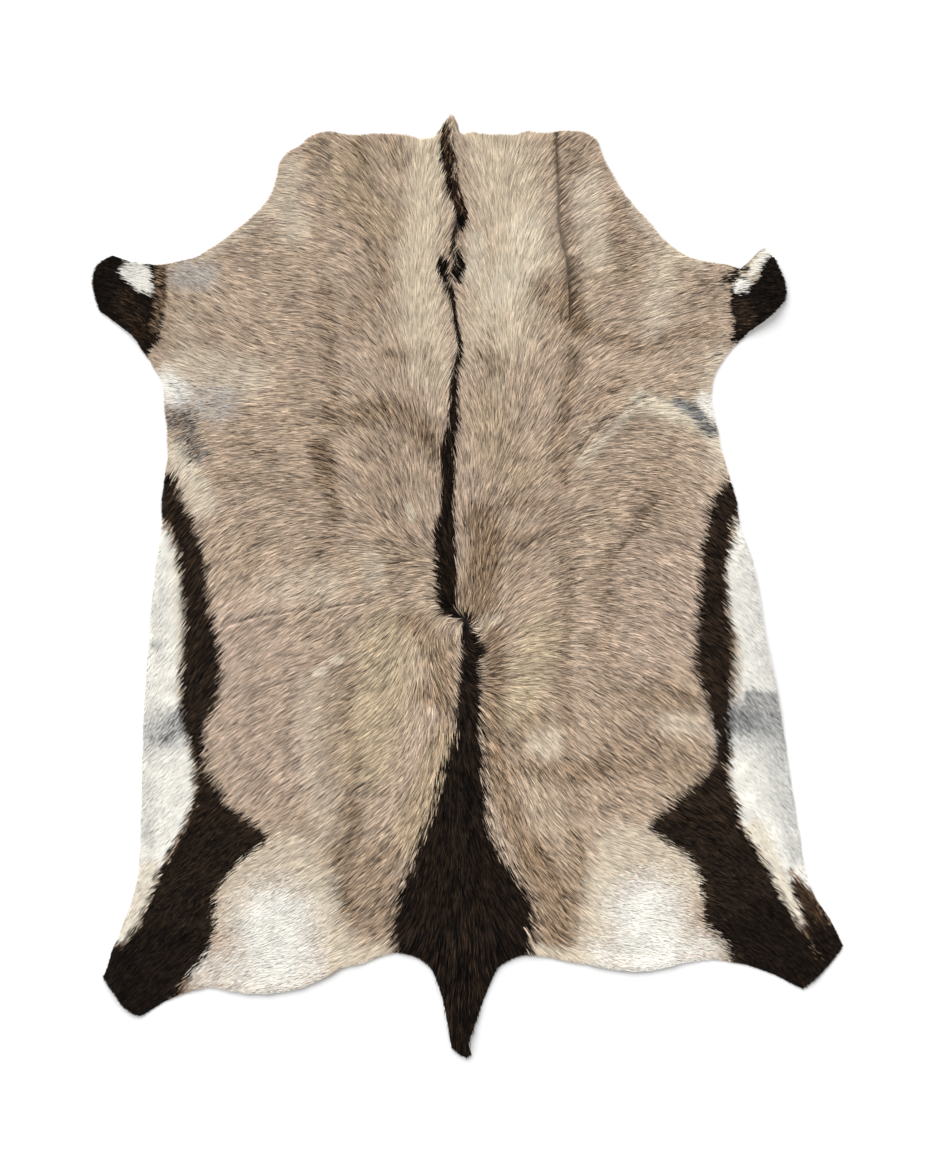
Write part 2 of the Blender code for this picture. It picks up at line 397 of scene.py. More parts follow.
class Stripe(NamedTuple):
    """The dark stripe along the spine, which frays less where it is narrower than twice its firm half."""

    tone: Tone
    stops: Sequence[Stop]
    step: float = 10
    firm: float = 9

    def lay(self, colour: np.ndarray, spots: Spots) -> None:
        """Lay the stripe over the colours.

        Args:
            colour: the colours, changed in place.
            spots: their spots.
        """
        stops = np.array(self.stops, dtype=float)
        line = smooth_path(stops[:, :2], self.step)
        _, place = from_path(line, stops[:, :2])
        halves = np.interp(place, np.arange(len(stops)), stops[:, 2]) / 2
        some = near(spots.at, line, halves.max() + EDGE_PUSH)
        distance, place = from_path(spots.at[some], line)
        half = np.interp(place, np.arange(len(line)), halves)
        push = (spots.ragged[some] + spots.stray[some]) * np.minimum(1, half / self.firm)
        colour[some[half - distance + push > 0]] = linear(self.tone.value)


class Lay(NamedTuple):
    """The hair's lie at one level: its turn from straight outwards, in degrees towards the neck."""

    y: float
    turns: tuple[float, ...]


# Distances from the spine, in millimetres, at which each row of a lay table gives the hair's turn
LAY_PLACES = (20, 60, 100, 150, 200, 250, 300, 400, 500, 650)

LAYS = {
    Side.LEFT: [
        Lay(-680, (-90, -75, -60, -38, -33, -27, -18, -20, -35, -50)),
        Lay(-600, (-90, -77, -64, -48, -36, -36, -35, -32, -40, -50)),
        Lay(-500, (-95, -80, -66, -42, -37, -33, -28, -30, -40, -50)),
        Lay(-400, (-95, -74, -58, -42, -30, -36, -40, -38, -45, -55)),
        Lay(-310, (-95, -80, -62, -38, -30, -34, -40, -35, -42, -55)),
        Lay(-245, (-95, -82, -70, -48, -38, -33, -30, -32, -45, -60)),
        Lay(-195, (-125, -115, -82, -52, -40, -36, -30, -30, -50, -60)),
        Lay(-100, (-125, -110, -78, -50, -39, -35, -29, -38, -55, -60)),
        Lay(-26, (-5, -14, -22, -27, -30, -32, -30, -45, -55, -60)),
        Lay(37, (0, -4, -8, -15, -23, -27, -30, -42, -52, -60)),
        Lay(80, (60, 40, 20, 5, -10, -18, -22, -38, -52, -60)),
        Lay(135, (88, 78, 60, 33, 8, -3, -7, -25, -55, -60)),
        Lay(215, (92, 86, 68, 48, 38, 8, 2, -5, -50, -60)),
        Lay(300, (100, 82, 60, 44, 22, 8, 2, -5, -30, -50)),
        Lay(380, (115, 95, 70, 45, 25, 10, 2, 3, 10, 20)),
        Lay(450, (122, 102, 76, 47, 28, 16, 6, 22, 30, 30)),
        Lay(560, (121, 100, 70, 46, 27, 15, 8, 25, 28, 20)),
        Lay(650, (120, 98, 64, 46, 27, 15, 8, 0, -5, -10)),
        Lay(760, (118, 88, 65, 48, 33, 20, 8, 0, 0, 0)),
    ],
    Side.RIGHT: [
        Lay(-680, (-85, -65, -52, -43, -28, -16, -10, -15, -30, -45)),
        Lay(-600, (-80, -62, -53, -48, -32, -16, -10, -15, -30, -45)),
        Lay(-500, (-75, -64, -51, -44, -48, -28, -18, -20, -35, -45)),
        Lay(-400, (-70, -68, -74, -60, -48, -35, -28, -30, -45, -50)),
        Lay(-290, (-60, -55, -50, -45, -42, -40, -40, -42, -48, -48)),
        Lay(-215, (-50, -30, -22, -29, -33, -30, -33, -39, -45, -45)),
        Lay(-180, (5, -2, -3, -9, -20, -27, -30, -36, -45, -45)),
        Lay(-120, (45, 26, 9, -2, -13, -22, -26, -30, -42, -42)),
        Lay(-45, (80, 60, 46, 27, 4, -5, -12, -28, -42, -42)),
        Lay(0, (115, 94, 62, 35, 20, 4, -2, -25, -40, -40)),
        Lay(180, (92, 77, 62, 47, 33, 14, 1, -15, -35, -40)),
        Lay(315, (115, 105, 88, 64, 52, 32, 12, -8, -15, -15)),
        Lay(430, (120, 110, 93, 66, 48, 41, 23, 27, 15, 5)),
        Lay(620, (120, 108, 89, 60, 44, 31, 15, 8, 0, -10)),
        Lay(720, (120, 103, 82, 56, 41, 31, 20, 5, -5, -10)),
    ],
}

SPINE = [(0, -900), (0, -300), (6, -216), (0, -75), (-42, -30), (-44, 50), (-38, 200), (-28, 316),
    (-20, 440), (-28, 500), (-25, 600), (-15, 700), (-35, 800), (-30, 900)]

STRIPE = Stripe(Tone.SABLE, [
    Stop(-50, 600, 6), Stop(-41, 579, 13), Stop(-34, 562, 15), Stop(-29, 538, 9), Stop(-24, 506, 8),
    Stop(-17, 468, 9), Stop(-15, 449, 9), Stop(-21, 425, 11), Stop(-26, 402, 14), Stop(-27, 354, 16),
    Stop(-28, 316, 17), Stop(-35, 280, 24), Stop(-39, 250, 30), Stop(-38, 202, 27), Stop(-39, 150, 25),
    Stop(-42, 126, 34), Stop(-46, 100, 43), Stop(-43, 50, 44), Stop(-42, -20, 46), Stop(-41, -42, 38),
    Stop(-24, -52, 16), Stop(-4, -56, 24), Stop(3, -75, 33), Stop(5, -98, 37), Stop(11, -121, 43),
    Stop(7, -150, 42), Stop(7, -170, 42), Stop(4, -216, 47), Stop(0, -262, 48),
])

RUMP = [(-20, -250), (-31, -300), (-48, -339), (-60, -394), (-76, -442), (-95, -490), (-114, -540),
    (-139, -600), (-146, -650), (-139, -700), (-135, -740), (-70, -940), (70, -940), (112, -740),
    (120, -687), (130, -640), (125, -600), (94, -550), (64, -505), (41, -453), (37, -389), (31, -330),
    (23, -250)]

LEFT_BAND_INNER = [(-568, 211), (-537, 152), (-516, 102), (-502, 56), (-488, -47), (-470, -142),
    (-480, -221), (-499, -262), (-501, -320), (-497, -352), (-478, -380), (-454, -414), (-420, -444),
    (-390, -464), (-384, -484), (-405, -501), (-436, -523), (-453, -548), (-477, -568), (-484, -590),
    (-483, -641), (-488, -670), (-500, -698), (-522, -727), (-545, -757), (-560, -786)]
LEFT_BAND_OUTER = [(-590, 135), (-574, 112), (-556, 71), (-545, -14), (-542, -71), (-544, -119),
    (-548, -180), (-545, -244), (-535, -286), (-527, -315), (-521, -350), (-521, -394), (-535, -444),
    (-552, -478), (-573, -516), (-593, -554), (-604, -586), (-622, -626), (-640, -658), (-659, -679),
    (-674, -674)]
RIGHT_BAND_INNER = [(490, 200), (456, 134), (444, 60), (441, -10), (437, -60), (433, -143), (450, -216),
    (469, -282), (465, -330), (455, -353), (434, -372), (395, -405), (373, -428), (350, -453), (361, -470),
    (380, -485), (403, -498), (421, -514), (435, -536), (443, -558), (445, -579), (452, -602), (448, -636),
    (469, -654), (487, -675), (502, -697), (509, -715)]
RIGHT_BAND_OUTER = [(514, 134), (505, 96), (491, 31), (496, -37), (506, -105), (505, -161), (498, -244),
    (500, -324), (497, -340), (496, -360), (498, -384), (509, -402), (515, -422), (517, -450), (528, -463),
    (539, -485), (556, -508), (571, -537), (587, -567), (601, -595), (619, -626), (630, -643), (636, -650),
    (638, -640), (634, -620), (625, -597), (618, -577), (620, -562), (628, -555), (640, -566), (652, -580)]
# Points outside the hide that close the bands round the hocks, and the belly outside the bands
LEFT_HOCK = [(-640, -860), (-780, -760), (-720, -680)]
RIGHT_HOCK = [(600, -800), (770, -720), (740, -560)]

BELLIES = [
    Area("left belly", Tone.WHITE, [*LEFT_BAND_OUTER, (-780, -690), (-700, 150)]),
    Area("right belly", Tone.WHITE, [*RIGHT_BAND_OUTER, (740, -560), (640, 150)]),
]

DARK_AREAS = [
    Area("left band", Tone.BLACK, [*LEFT_BAND_INNER, *LEFT_HOCK, *reversed(LEFT_BAND_OUTER),
        (-600, 205)], 1.7),
    Area("right band", Tone.BLACK, [*RIGHT_BAND_INNER, *RIGHT_HOCK, *reversed(RIGHT_BAND_OUTER),
        (530, 195)], 1.7),
    Area("rump and tail", Tone.SABLE, RUMP, 2.8),
    Area("left hind foot", Tone.SABLE, [(-590, -640), (-540, -660), (-515, -690), (-540, -730), (-565, -775),
        (-640, -860), (-780, -760), (-720, -680), (-660, -690), (-630, -655)]),
    Area("right hind foot", Tone.SABLE, [(560, -590), (520, -620), (480, -650), (520, -700), (600, -800),
        (770, -720), (730, -600), (670, -610), (645, -660), (620, -650), (600, -620)]),
    Area("crest", Tone.SOOT, [(-42, 888), (-37, 876), (-36, 860), (-35, 843), (-30, 824), (-22, 809),
        (-25, 795), (-27, 780), (-22, 759), (-14, 740), (-8, 722), (-1, 704), (-3, 686), (-14, 678),
        (-20, 700), (-24, 721), (-31, 738), (-37, 756), (-42, 774), (-45, 793), (-49, 812), (-52, 831),
        (-51, 850), (-50, 868), (-47, 880)]),
    Area("tuft", Tone.SOOT, [(-58, 601), (-54, 628), (-46, 626), (-36, 614), (-29, 606), (-26, 617),
        (-20, 634), (-12, 638), (-6, 622), (-6, 603), (-12, 592), (-14, 576), (-24, 580), (-36, 588),
        (-46, 586), (-55, 590)]),
    Area("left foreleg", Tone.SOOT, [(-580, 628), (-580, 613), (-582, 590), (-580, 563), (-584, 540),
        (-585, 520), (-586, 500), (-584, 480), (-590, 460), (-606, 450), (-628, 438), (-775, 487),
        (-775, 658), (-661, 658)]),
    Area("right foreleg", Tone.SOOT, [(500, 556), (505, 575), (519, 590), (530, 594), (540, 575), (547, 580),
        (555, 599), (559, 617), (570, 634), (562, 649), (631, 649), (631, 459), (530, 462), (503, 468),
        (506, 489), (502, 512), (499, 535)]),
]

LATE_AREAS = [
    Area("left foreleg white", Tone.WHITE, [(-658, 626), (-646, 619), (-623, 615), (-608, 612), (-605, 598),
        (-602, 582), (-600, 563), (-606, 556), (-617, 556), (-631, 565), (-648, 580), (-659, 592),
        (-661, 601), (-652, 611)]),
    Area("right foreleg, white patch", Tone.WHITE, [(506, 571), (514, 583), (530, 588), (541, 583),
        (538, 572), (531, 564), (519, 559), (507, 561)]),
    Area("right foreleg, pale flap", Tone.CREAM, [(516, 596), (528, 622), (552, 656), (578, 642), (562, 617),
        (556, 599), (547, 582), (538, 584)]),
]

LATE_PATCHES = [
    Patch("left foreleg, mottled border", Tone.UMBER, 0.55, 14, [(-586, 608), (-590, 570), (-590, 530),
        (-598, 490)], 0.95),
    Patch("right foreleg, mottled border", Tone.SOOT, 0.7, 15, [(490, 584), (508, 596)], 0.95),
    Patch("right foreleg, dark streaks", Tone.SOOT, 0.8, 11, [(512, 603), (530, 602)], 0.9),
    Patch("right foreleg, speck by the white", Tone.SOOT, 0.8, 9, [(500, 580), (512, 590)], 0.6),
    Patch("right foreleg, grey streaks", Tone.UMBER, 0.45, 9, [(520, 600), (538, 618), (556, 638)], 0.95),
    Patch("right foreleg, white on the flap", Tone.WHITE, 0.9, 11, [(540, 594), (554, 614),
        (568, 634)], 0.5),
    Patch("right foreleg, brown shank", Tone.BROWN, 0.35, 26, [(520, 530), (530, 505)], 0.6),
    Patch("left foreleg, brown shank", Tone.BROWN, 0.25, 34, [(-650, 540), (-620, 480)], 0.6),
    Patch("right shank, brown tip", Tone.BROWN, 0.4, 16, [(630, -572), (650, -600), (672, -640)], 0.7),
    Patch("right shank, fawn fringe", Tone.UMBER, 0.3, 8, [(648, -574), (668, -606), (686, -640)], 0.95),
    Patch("right shank, fawn hairs", Tone.UMBER, 0.18, 10, [(638, -655), (652, -680), (668, -704)], 1.0),
    Patch("crest, brown hairs", Tone.BROWN, 0.35, 16, [(-40, 860), (-34, 800), (-16, 720)], 0.9),
]

# Painted shade: the umber patches in the hollows, along the long fold, between the puckers and on the right
# flank's slope lie where shade falls on the hide's folds, as do the two named shadow
PATCHES = [
    Patch("cream neck, left", Tone.STRAW, 0.9, 64, [(-74, 850), (-74, 760), (-84, 700), (-96, 640),
        (-92, 570), (-86, 490), (-72, 420)]),
    Patch("cream neck, right", Tone.STRAW, 0.75, 105, [(60, 840), (80, 740), (100, 650), (74, 570),
        (56, 490)]),
    Patch("cream neck, brightest", Tone.CREAM, 0.6, 52, [(110, 690), (112, 630), (60, 560)], 0.3),
    Patch("pale line left of the stripe", Tone.STRAW, 0.22, 28, [(-62, 390), (-54, 345)]),
    Patch("pale neck behind the fold", Tone.CREAM, 0.5, 44, [(228, 770), (236, 700), (250, 630)]),
    Patch("pale shoulder, right", Tone.CREAM, 0.4, 48, [(372, 610), (362, 540), (352, 490)]),
    # Painted shade in the hollows of the neck
    Patch("neck hollow, right", Tone.UMBER, 0.4, 40, [(296, 720), (286, 660), (306, 600)]),
    Patch("neck hollow, left", Tone.UMBER, 0.4, 40, [(-196, 700), (-180, 640), (-162, 590), (-200, 530)]),
    Patch("neck corner, left", Tone.UMBER, 0.15, 30, [(-284, 850), (-276, 800), (-300, 790)]),
    Patch("pale rim of the neck, right", Tone.CREAM, 0.45, 18, [(264, 836), (292, 760), (332, 700),
        (384, 640), (440, 612)]),
    Patch("pale rim of the neck, left", Tone.CREAM, 0.45, 16, [(-376, 722), (-430, 672), (-500, 626)]),
    Patch("cream by the tuft", Tone.CREAM, 0.6, 28, [(14, 660), (8, 590)]),
    Patch("brown spot by the stripe, left", Tone.UMBER, 0.35, 28, [(-84, 448), (-66, 412)]),
    Patch("neck edge, left", Tone.UMBER, 0.5, 24, [(-204, 850), (-208, 800)]),
    Patch("neck edge by the crest", Tone.UMBER, 0.35, 34, [(-156, 850), (-126, 815)]),
    Patch("tan neck, left", Tone.TAN, 0.5, 62, [(-230, 800), (-220, 730), (-150, 690)]),
    Patch("pale neck edge, left", Tone.CREAM, 0.5, 50, [(-340, 790), (-350, 730), (-330, 680)]),
    # Painted shadow along the long neck fold, on the side that faces away from the light
    Patch("brown top of the long fold", Tone.UMBER, 0.8, 12, [(168, 870), (167, 832), (170, 790)]),
    Patch("hollow by the long fold's top", Tone.UMBER, 0.4, 34, [(200, 836), (206, 792)]),
    Patch("brown by the long fold", Tone.UMBER, 0.4, 18, [(180, 790), (180, 700), (190, 640)]),
    Patch("brown by the long fold, lower", Tone.UMBER, 0.65, 24, [(196, 620), (200, 540), (206, 500)]),
    Patch("brown hollow by the long fold", Tone.UMBER, 0.65, 46, [(146, 566), (184, 548), (210, 500)]),
    # Painted shade in the hollow below the right shoulder
    Patch("hollow below the right shoulder", Tone.UMBER, 0.5, 24, [(214, 494), (262, 476), (316, 456),
        (356, 458), (420, 482), (456, 490)]),
    Patch("brown by the right foreleg", Tone.UMBER, 0.12, 34, [(444, 572), (474, 545)]),
    # Painted shade in the long hollow that carries on from the long fold
    Patch("long hollow right of the spine", Tone.UMBER, 0.58, 26, [(200, 444), (194, 390), (180, 320),
        (172, 258), (184, 196)]),
    Patch("brown spot right of the stripe", Tone.UMBER, 0.5, 30, [(26, 446), (62, 426), (50, 400)]),
    Patch("tan right of the stripe", Tone.TAN, 0.4, 60, [(40, 340), (56, 260), (100, 220)]),
    Patch("brown spot left of the stripe", Tone.UMBER, 0.35, 30, [(-156, 436), (-122, 442)]),
    # Painted shade on the left shoulder's fold slope, which faces away from the light
    Patch("left shoulder hollow", Tone.UMBER, 0.5, 26, [(-276, 566), (-270, 500), (-266, 430), (-256, 370)]),
    Patch("left shoulder hollow, first spot", Tone.UMBER, 0.65, 36, [(-262, 336), (-254, 312)]),
    Patch("left shoulder hollow, second spot", Tone.UMBER, 0.85, 34, [(-284, 264), (-272, 234),
        (-274, 202)]),
    Patch("left shoulder hollow, third spot", Tone.UMBER, 0.65, 26, [(-258, 170), (-256, 140)]),
    # Painted shade in the hollow by the right armpit and between the shoulder puckers
    Patch("hollow by the right armpit", Tone.UMBER, 0.45, 24, [(290, 388), (252, 364), (238, 340)]),
    Patch("hollow between the puckers", Tone.UMBER, 0.4, 12, [(320, 366), (370, 351), (430, 326)]),
    Patch("pale spot right of the stripe", Tone.STRAW, 0.4, 20, [(60, 392), (58, 368)]),
    Patch("brown spot, left neck", Tone.UMBER, 0.4, 26, [(-228, 506), (-218, 486)]),
    Patch("brown spot, right neck", Tone.UMBER, 0.3, 24, [(40, 478)]),
    Patch("brown spot, right shoulder", Tone.UMBER, 0.3, 24, [(334, 510), (332, 490)]),
    Patch("brown spot, left of the stripe", Tone.UMBER, 0.4, 22, [(-62, 238), (-50, 214)]),
    Patch("brown spot, right of the stripe", Tone.UMBER, 0.4, 22, [(44, 188)]),
    Patch("brown spot, right barrel, upper", Tone.UMBER, 0.35, 22, [(138, 208)]),
    Patch("brown barrel, right", Tone.UMBER, 0.3, 44, [(100, 66), (92, 20)]),
    Patch("brown spot by the right band", Tone.UMBER, 0.35, 26, [(432, 138), (424, 110)]),
    # Painted shade at the end of the left shoulder's fold
    Patch("left shoulder hollow, end", Tone.UMBER, 0.4, 34, [(-262, 110), (-276, 60)]),
    # Painted shade in the hollow left of the spine
    Patch("brown hollow left of the spine", Tone.UMBER, 0.7, 44, [(-206, 326), (-156, 340), (-112, 322),
        (-84, 290)]),
    Patch("brown edge of the stripe", Tone.UMBER, 0.6, 26, [(-78, 290), (-66, 262)]),
    Patch("tan barrel, left", Tone.UMBER, 0.32, 84, [(-160, 250), (-150, 160), (-124, 60)]),
    # Painted shade in the hollows across the left shoulder and barrel
    Patch("hollow across the left shoulder", Tone.UMBER, 0.2, 26, [(-426, 326), (-346, 308), (-290, 322)]),
    Patch("short hollow, left", Tone.UMBER, 0.4, 22, [(-432, 278), (-376, 246)]),
    Patch("long hollow, left", Tone.UMBER, 0.28, 30, [(-480, 206), (-400, 200), (-320, 176)]),
    Patch("barrel hollow, left", Tone.UMBER, 0.25, 36, [(-410, 110), (-420, 40)]),
    Patch("pale shoulder edge, left", Tone.CREAM, 0.55, 58, [(-420, 396), (-480, 414), (-550, 412)], 0.3),
    Patch("pale rim behind the left foreleg", Tone.CREAM, 0.2, 40, [(-540, 500), (-540, 450)], 0.3),
    Patch("duller hair by the left foreleg", Tone.UMBER, 0.25, 26, [(-568, 540), (-574, 460)], 0.3),
    Patch("pale rim above the left band", Tone.CREAM, 0.8, 40, [(-556, 250), (-524, 200), (-504, 156)], 0.3),
    Patch("pale rim of the left band", Tone.ROSE, 0.5, 44, [(-468, -60), (-456, -160), (-458, -300),
        (-420, -400)]),
    Patch("pale rim of the right band", Tone.ROSE, 0.6, 44, [(440, 150), (416, 12), (410, -121)]),
    Patch("pale spot, left", Tone.CREAM, 0.35, 30, [(-188, 54), (-180, 10)], 0.3),
    Patch("pale flank, left", Tone.CREAM, 0.32, 50, [(-384, -20), (-300, 10), (-268, -4)], 0.3),
    Patch("pale loin, left", Tone.SAND, 0.75, 90, [(-150, -100), (-166, -220), (-200, -330)]),
    Patch("pink flank, left", Tone.ROSE, 0.6, 120, [(-400, -80), (-380, -240), (-350, -360)]),
    Patch("pale marks, left loin", Tone.CREAM, 0.35, 44, [(-300, -200), (-300, -340), (-260, -470)], 0.3),
    Patch("brown by the stripe, left", Tone.UMBER, 0.7, 36, [(-110, -66), (-70, -110), (-48, -180)]),
    Patch("brown edge of the stripe, left", Tone.UMBER, 0.55, 22, [(-34, -110), (-34, -200),
        (-46, -300)], 0.3),
    Patch("brown smudge by the stripe", Tone.UMBER, 0.75, 32, [(-84, -206), (-54, -216)]),
    Patch("warm edge of the rump, left", Tone.TAN, 0.7, 50, [(-46, -300), (-76, -390), (-116, -480)]),
    Patch("left loin line", Tone.UMBER, 0.4, 22, [(-230, -160), (-236, -250), (-214, -330), (-226, -430)]),
    # Painted shade in the hollow of the left rump
    Patch("left rump hollow", Tone.UMBER, 0.6, 46, [(-226, -440), (-240, -530), (-250, -600)], 0.3),
    Patch("left rump hollow, darkest", Tone.UMBER, 0.85, 36, [(-240, -586), (-234, -640)], 0.3),
    Patch("brown rump, left", Tone.UMBER, 0.55, 62, [(-170, -520), (-176, -630)], 0.3),
    Patch("rosy spot, left loin", Tone.UMBER, 0.35, 22, [(-246, -96)]),
    # Painted shade in the hollows right of the spine and across the right barrel
    Patch("brown hollow right of the spine", Tone.UMBER, 0.85, 58, [(24, 130), (36, 86), (26, 20),
        (18, -30)]),
    Patch("brown hollow, darkest", Tone.UMBER, 0.6, 30, [(34, 96), (28, 30)]),
    Patch("hollow across the barrel, right", Tone.UMBER, 0.42, 30, [(60, 96), (130, 92), (200, 112),
        (150, 152), (80, 166)]),
    Patch("brown spot, right barrel", Tone.UMBER, 0.5, 18, [(80, 164)]),
    # Painted shade on the right flank's slope that faces away from the light
    Patch("right flank streak", Tone.UMBER, 0.5, 22, [(352, 156), (312, 92), (268, 46)]),
    Patch("right flank, duller", Tone.UMBER, 0.27, 140, [(340, 150), (340, -100), (300, -360)]),
    Patch("right loin, duller", Tone.UMBER, 0.15, 90, [(116, -230), (120, -320)]),
    Patch("left flank, duller", Tone.UMBER, 0.13, 120, [(-340, -230), (-330, -360)]),
    # Painted shade in the right flank's and loin's hollows and folds
    Patch("right flank hollow", Tone.UMBER, 0.25, 42, [(372, 256), (360, 180)]),
    Patch("right loin hollow", Tone.UMBER, 0.42, 28, [(190, 60), (190, -60), (180, -140), (194, -300),
        (204, -420)]),
    Patch("right loin hollow, second", Tone.UMBER, 0.26, 28, [(246, 30), (270, -80)]),
    Patch("right loin fold shadow", Tone.UMBER, 0.42, 20, [(226, -100), (320, -150), (430, -214)]),
    Patch("right flank shadow", Tone.UMBER, 0.45, 26, [(330, -204), (424, -224)]),
    Patch("pale loin, right", Tone.SAND, 0.7, 66, [(140, -90), (116, -180), (100, -240)]),
    Patch("pale flank, right", Tone.ROSE, 0.45, 90, [(340, 60), (350, -60), (330, -130)]),
    Patch("brown by the stripe, right", Tone.UMBER, 0.8, 32, [(50, -84), (56, -150), (48, -230),
        (54, -310)]),
    Patch("brown rump edge, right", Tone.UMBER, 0.8, 38, [(58, -330), (72, -400), (92, -460), (122, -510)]),
    Patch("pale spot by the stripe, right", Tone.STRAW, 0.6, 18, [(28, -68), (52, -62)]),
    Patch("round pale mark, right loin", Tone.CREAM, 0.4, 32, [(132, -298), (164, -284), (154, -314)], 0.3),
    Patch("rim of the pale mark", Tone.UMBER, 0.55, 20, [(92, -304), (98, -262), (140, -242)]),
    # Painted shade in the hollow under the pale mark
    Patch("hollow under the pale mark", Tone.UMBER, 0.6, 32, [(104, -346), (180, -356), (250, -352)]),
    Patch("brown flank, right", Tone.UMBER, 0.4, 62, [(276, -330), (350, -322), (420, -336)]),
    Patch("pale spot, right flank", Tone.CREAM, 0.4, 32, [(380, -260), (430, -266)], 0.3),
    Patch("brown rump, right", Tone.UMBER, 0.85, 58, [(130, -520), (166, -590), (170, -660)], 0.3),
    Patch("brown fringe, left hock", Tone.BROWN, 0.5, 13, [(-492, -690), (-518, -732), (-546, -772)], 0.7),
    Patch("brown fringe, right hock", Tone.BROWN, 0.5, 13, [(456, -652), (480, -680), (504, -712)], 0.7),
    Patch("brown fringe, right hock, upper", Tone.BROWN, 0.45, 11, [(408, -510), (434, -548)], 0.7),
    Patch("rump line, right", Tone.UMBER, 0.6, 28, [(206, -470), (210, -590), (226, -660)], 0.3),
    Patch("left foreleg, grey haze", Tone.ASH, 0.55, 46, [(-540, 592), (-504, 590)], 0.5),
    Patch("left foreleg, brown border", Tone.BROWN, 0.7, 11, [(-578, 612), (-580, 560), (-584, 520),
        (-598, 470)], 0.6),
    Patch("left armpit, haze", Tone.ASH, 0.5, 52, [(-540, 352), (-466, 352), (-480, 340)], 0.6),
    Patch("left armpit, blue grey", Tone.SLATE, 0.6, 36, [(-566, 318), (-538, 314), (-534, 288),
        (-520, 250)], 0.75),
    Patch("left armpit, dark hairs", Tone.BROWN, 0.32, 24, [(-566, 316), (-538, 310), (-534, 286),
        (-520, 250)], 0.95),
    Patch("left armpit, white", Tone.WHITE, 0.95, 40, [(-574, 388), (-556, 368)], 0.3),
    Patch("right armpit, cream", Tone.CREAM, 0.95, 32, [(330, 354), (390, 334), (440, 318),
        (478, 280)], 0.3),
    Patch("right armpit, pale edge", Tone.CREAM, 0.6, 44, [(484, 430), (470, 372), (482, 300),
        (486, 236)], 0.3),
    Patch("pale line to the right armpit", Tone.CREAM, 0.6, 18, [(316, 336), (262, 284), (220, 238)]),
    Patch("right armpit, white", Tone.WHITE, 0.9, 27, [(452, 352), (466, 332)], 0.3),
    Patch("right armpit, blue grey", Tone.SLATE, 0.85, 20, [(402, 350), (430, 333), (450, 309),
        (464, 296)], 0.75),
    Patch("cream haunch top, left", Tone.CREAM, 0.6, 70, [(-330, -510), (-410, -540), (-446, -620)], 0.45),
    Patch("cream haunch top, right", Tone.CREAM, 0.65, 62, [(290, -490), (370, -510), (420, -560)], 0.45),
    Patch("cream haunch side, left", Tone.CREAM, 0.75, 56, [(-290, -560), (-270, -640), (-240, -700)], 0.6),
    Patch("cream haunch side, right", Tone.CREAM, 0.75, 56, [(266, -550), (252, -630), (240, -700)], 0.6),
    Patch("white haunch, left", Tone.WHITE, 1.0, 122, [(-366, -640), (-366, -700)], 0.55),
    Patch("white haunch edge, left", Tone.WHITE, 0.6, 66, [(-486, -732), (-400, -750), (-300, -722)], 0.6),
    Patch("pale rump edge, left", Tone.CREAM, 0.6, 30, [(-250, -714), (-170, -696)], 0.5),
    Patch("white haunch, right", Tone.WHITE, 1.0, 116, [(340, -620), (350, -680)], 0.55),
    Patch("white haunch edge, right", Tone.WHITE, 0.65, 60, [(250, -706), (350, -712), (450, -694)], 0.6),
    Patch("pale rump edge, right", Tone.CREAM, 0.6, 30, [(140, -700), (220, -706)], 0.5),
    Patch("scar on the left loin", Tone.CREAM, 0.9, 15, [(-290, -164), (-276, -160)], 0.5),
    Patch("scar on the left loin, second", Tone.CREAM, 0.7, 12, [(-256, -142), (-244, -140)], 0.5),
    Patch("scar by the left wave", Tone.CREAM, 0.6, 12, [(-182, 20), (-171, 35)], 0.5),
    Patch("pale tuft left of the spine", Tone.CREAM, 0.6, 11, [(-114, 155), (-106, 126)], 0.4),
    Patch("thin crest line", Tone.BLACK, 0.9, 9, [(-16, 706), (-21, 684), (-27, 658), (-30, 632)], 0.7),
    Patch("brown hairs under the crest", Tone.BROWN, 0.35, 14, [(-44, 762), (-36, 742)], 0.8),
]

BELLY_PATCHES = [
    Patch("left belly, grey haze", Tone.ASH, 0.6, 60, [(-604, -280), (-560, -270)], 0.45),
    Patch("left belly, dark smudge", Tone.SLATE, 0.6, 32, [(-576, -286), (-544, -252)], 0.6),
    Patch("brown tip by the right shank", Tone.UMBER, 0.5, 12, [(614, -544), (624, -556)], 0.9),
    Patch("left belly, small mark", Tone.ASH, 0.7, 14, [(-593, -111)], 0.4),
    Patch("right belly, grey haze", Tone.ASH, 0.75, 84, [(524, -262), (590, -270)], 0.45),
    Patch("right belly, upper smudge", Tone.SLATE, 0.75, 26, [(542, -212), (580, -216)], 0.5),
    Patch("right belly, dark smudge", Tone.SLATE, 0.8, 42, [(514, -256), (560, -256), (594, -264)], 0.5),
    Patch("right belly, blue edge", Tone.ASH, 0.6, 44, [(604, -311), (618, -406), (631, -501)], 0.4),
    Patch("left belly, blue edge", Tone.ASH, 0.35, 30, [(-612, -387), (-618, -482)], 0.4),
    Patch("cream beside the left shank", Tone.CREAM, 0.7, 30, [(-604, -539), (-623, -596),
        (-646, -653)], 0.3),
    Patch("cream beside the right shank", Tone.CREAM, 0.7, 28, [(547, -463), (583, -539), (621, -618)], 0.3),
    Patch("cream beside the left band", Tone.CREAM, 0.45, 23, [(-551, 50), (-543, -64), (-540, -197)], 0.3),
    Patch("right belly, dull", Tone.ASH, 0.4, 70, [(560, 40), (580, -150), (600, -400)], 0.3),
    Patch("brown beside the right band", Tone.UMBER, 0.5, 13, [(510, -96), (514, -160), (508, -220)], 0.7),
]

# The long neck fold's line, from the neck's cut edge down
LONG_FOLD = [(169, 874), (167, 832), (169, 800), (169, 768), (171, 739), (170, 715), (172, 684), (178, 649),
    (186, 618), (189, 580), (191, 554), (192, 506)]

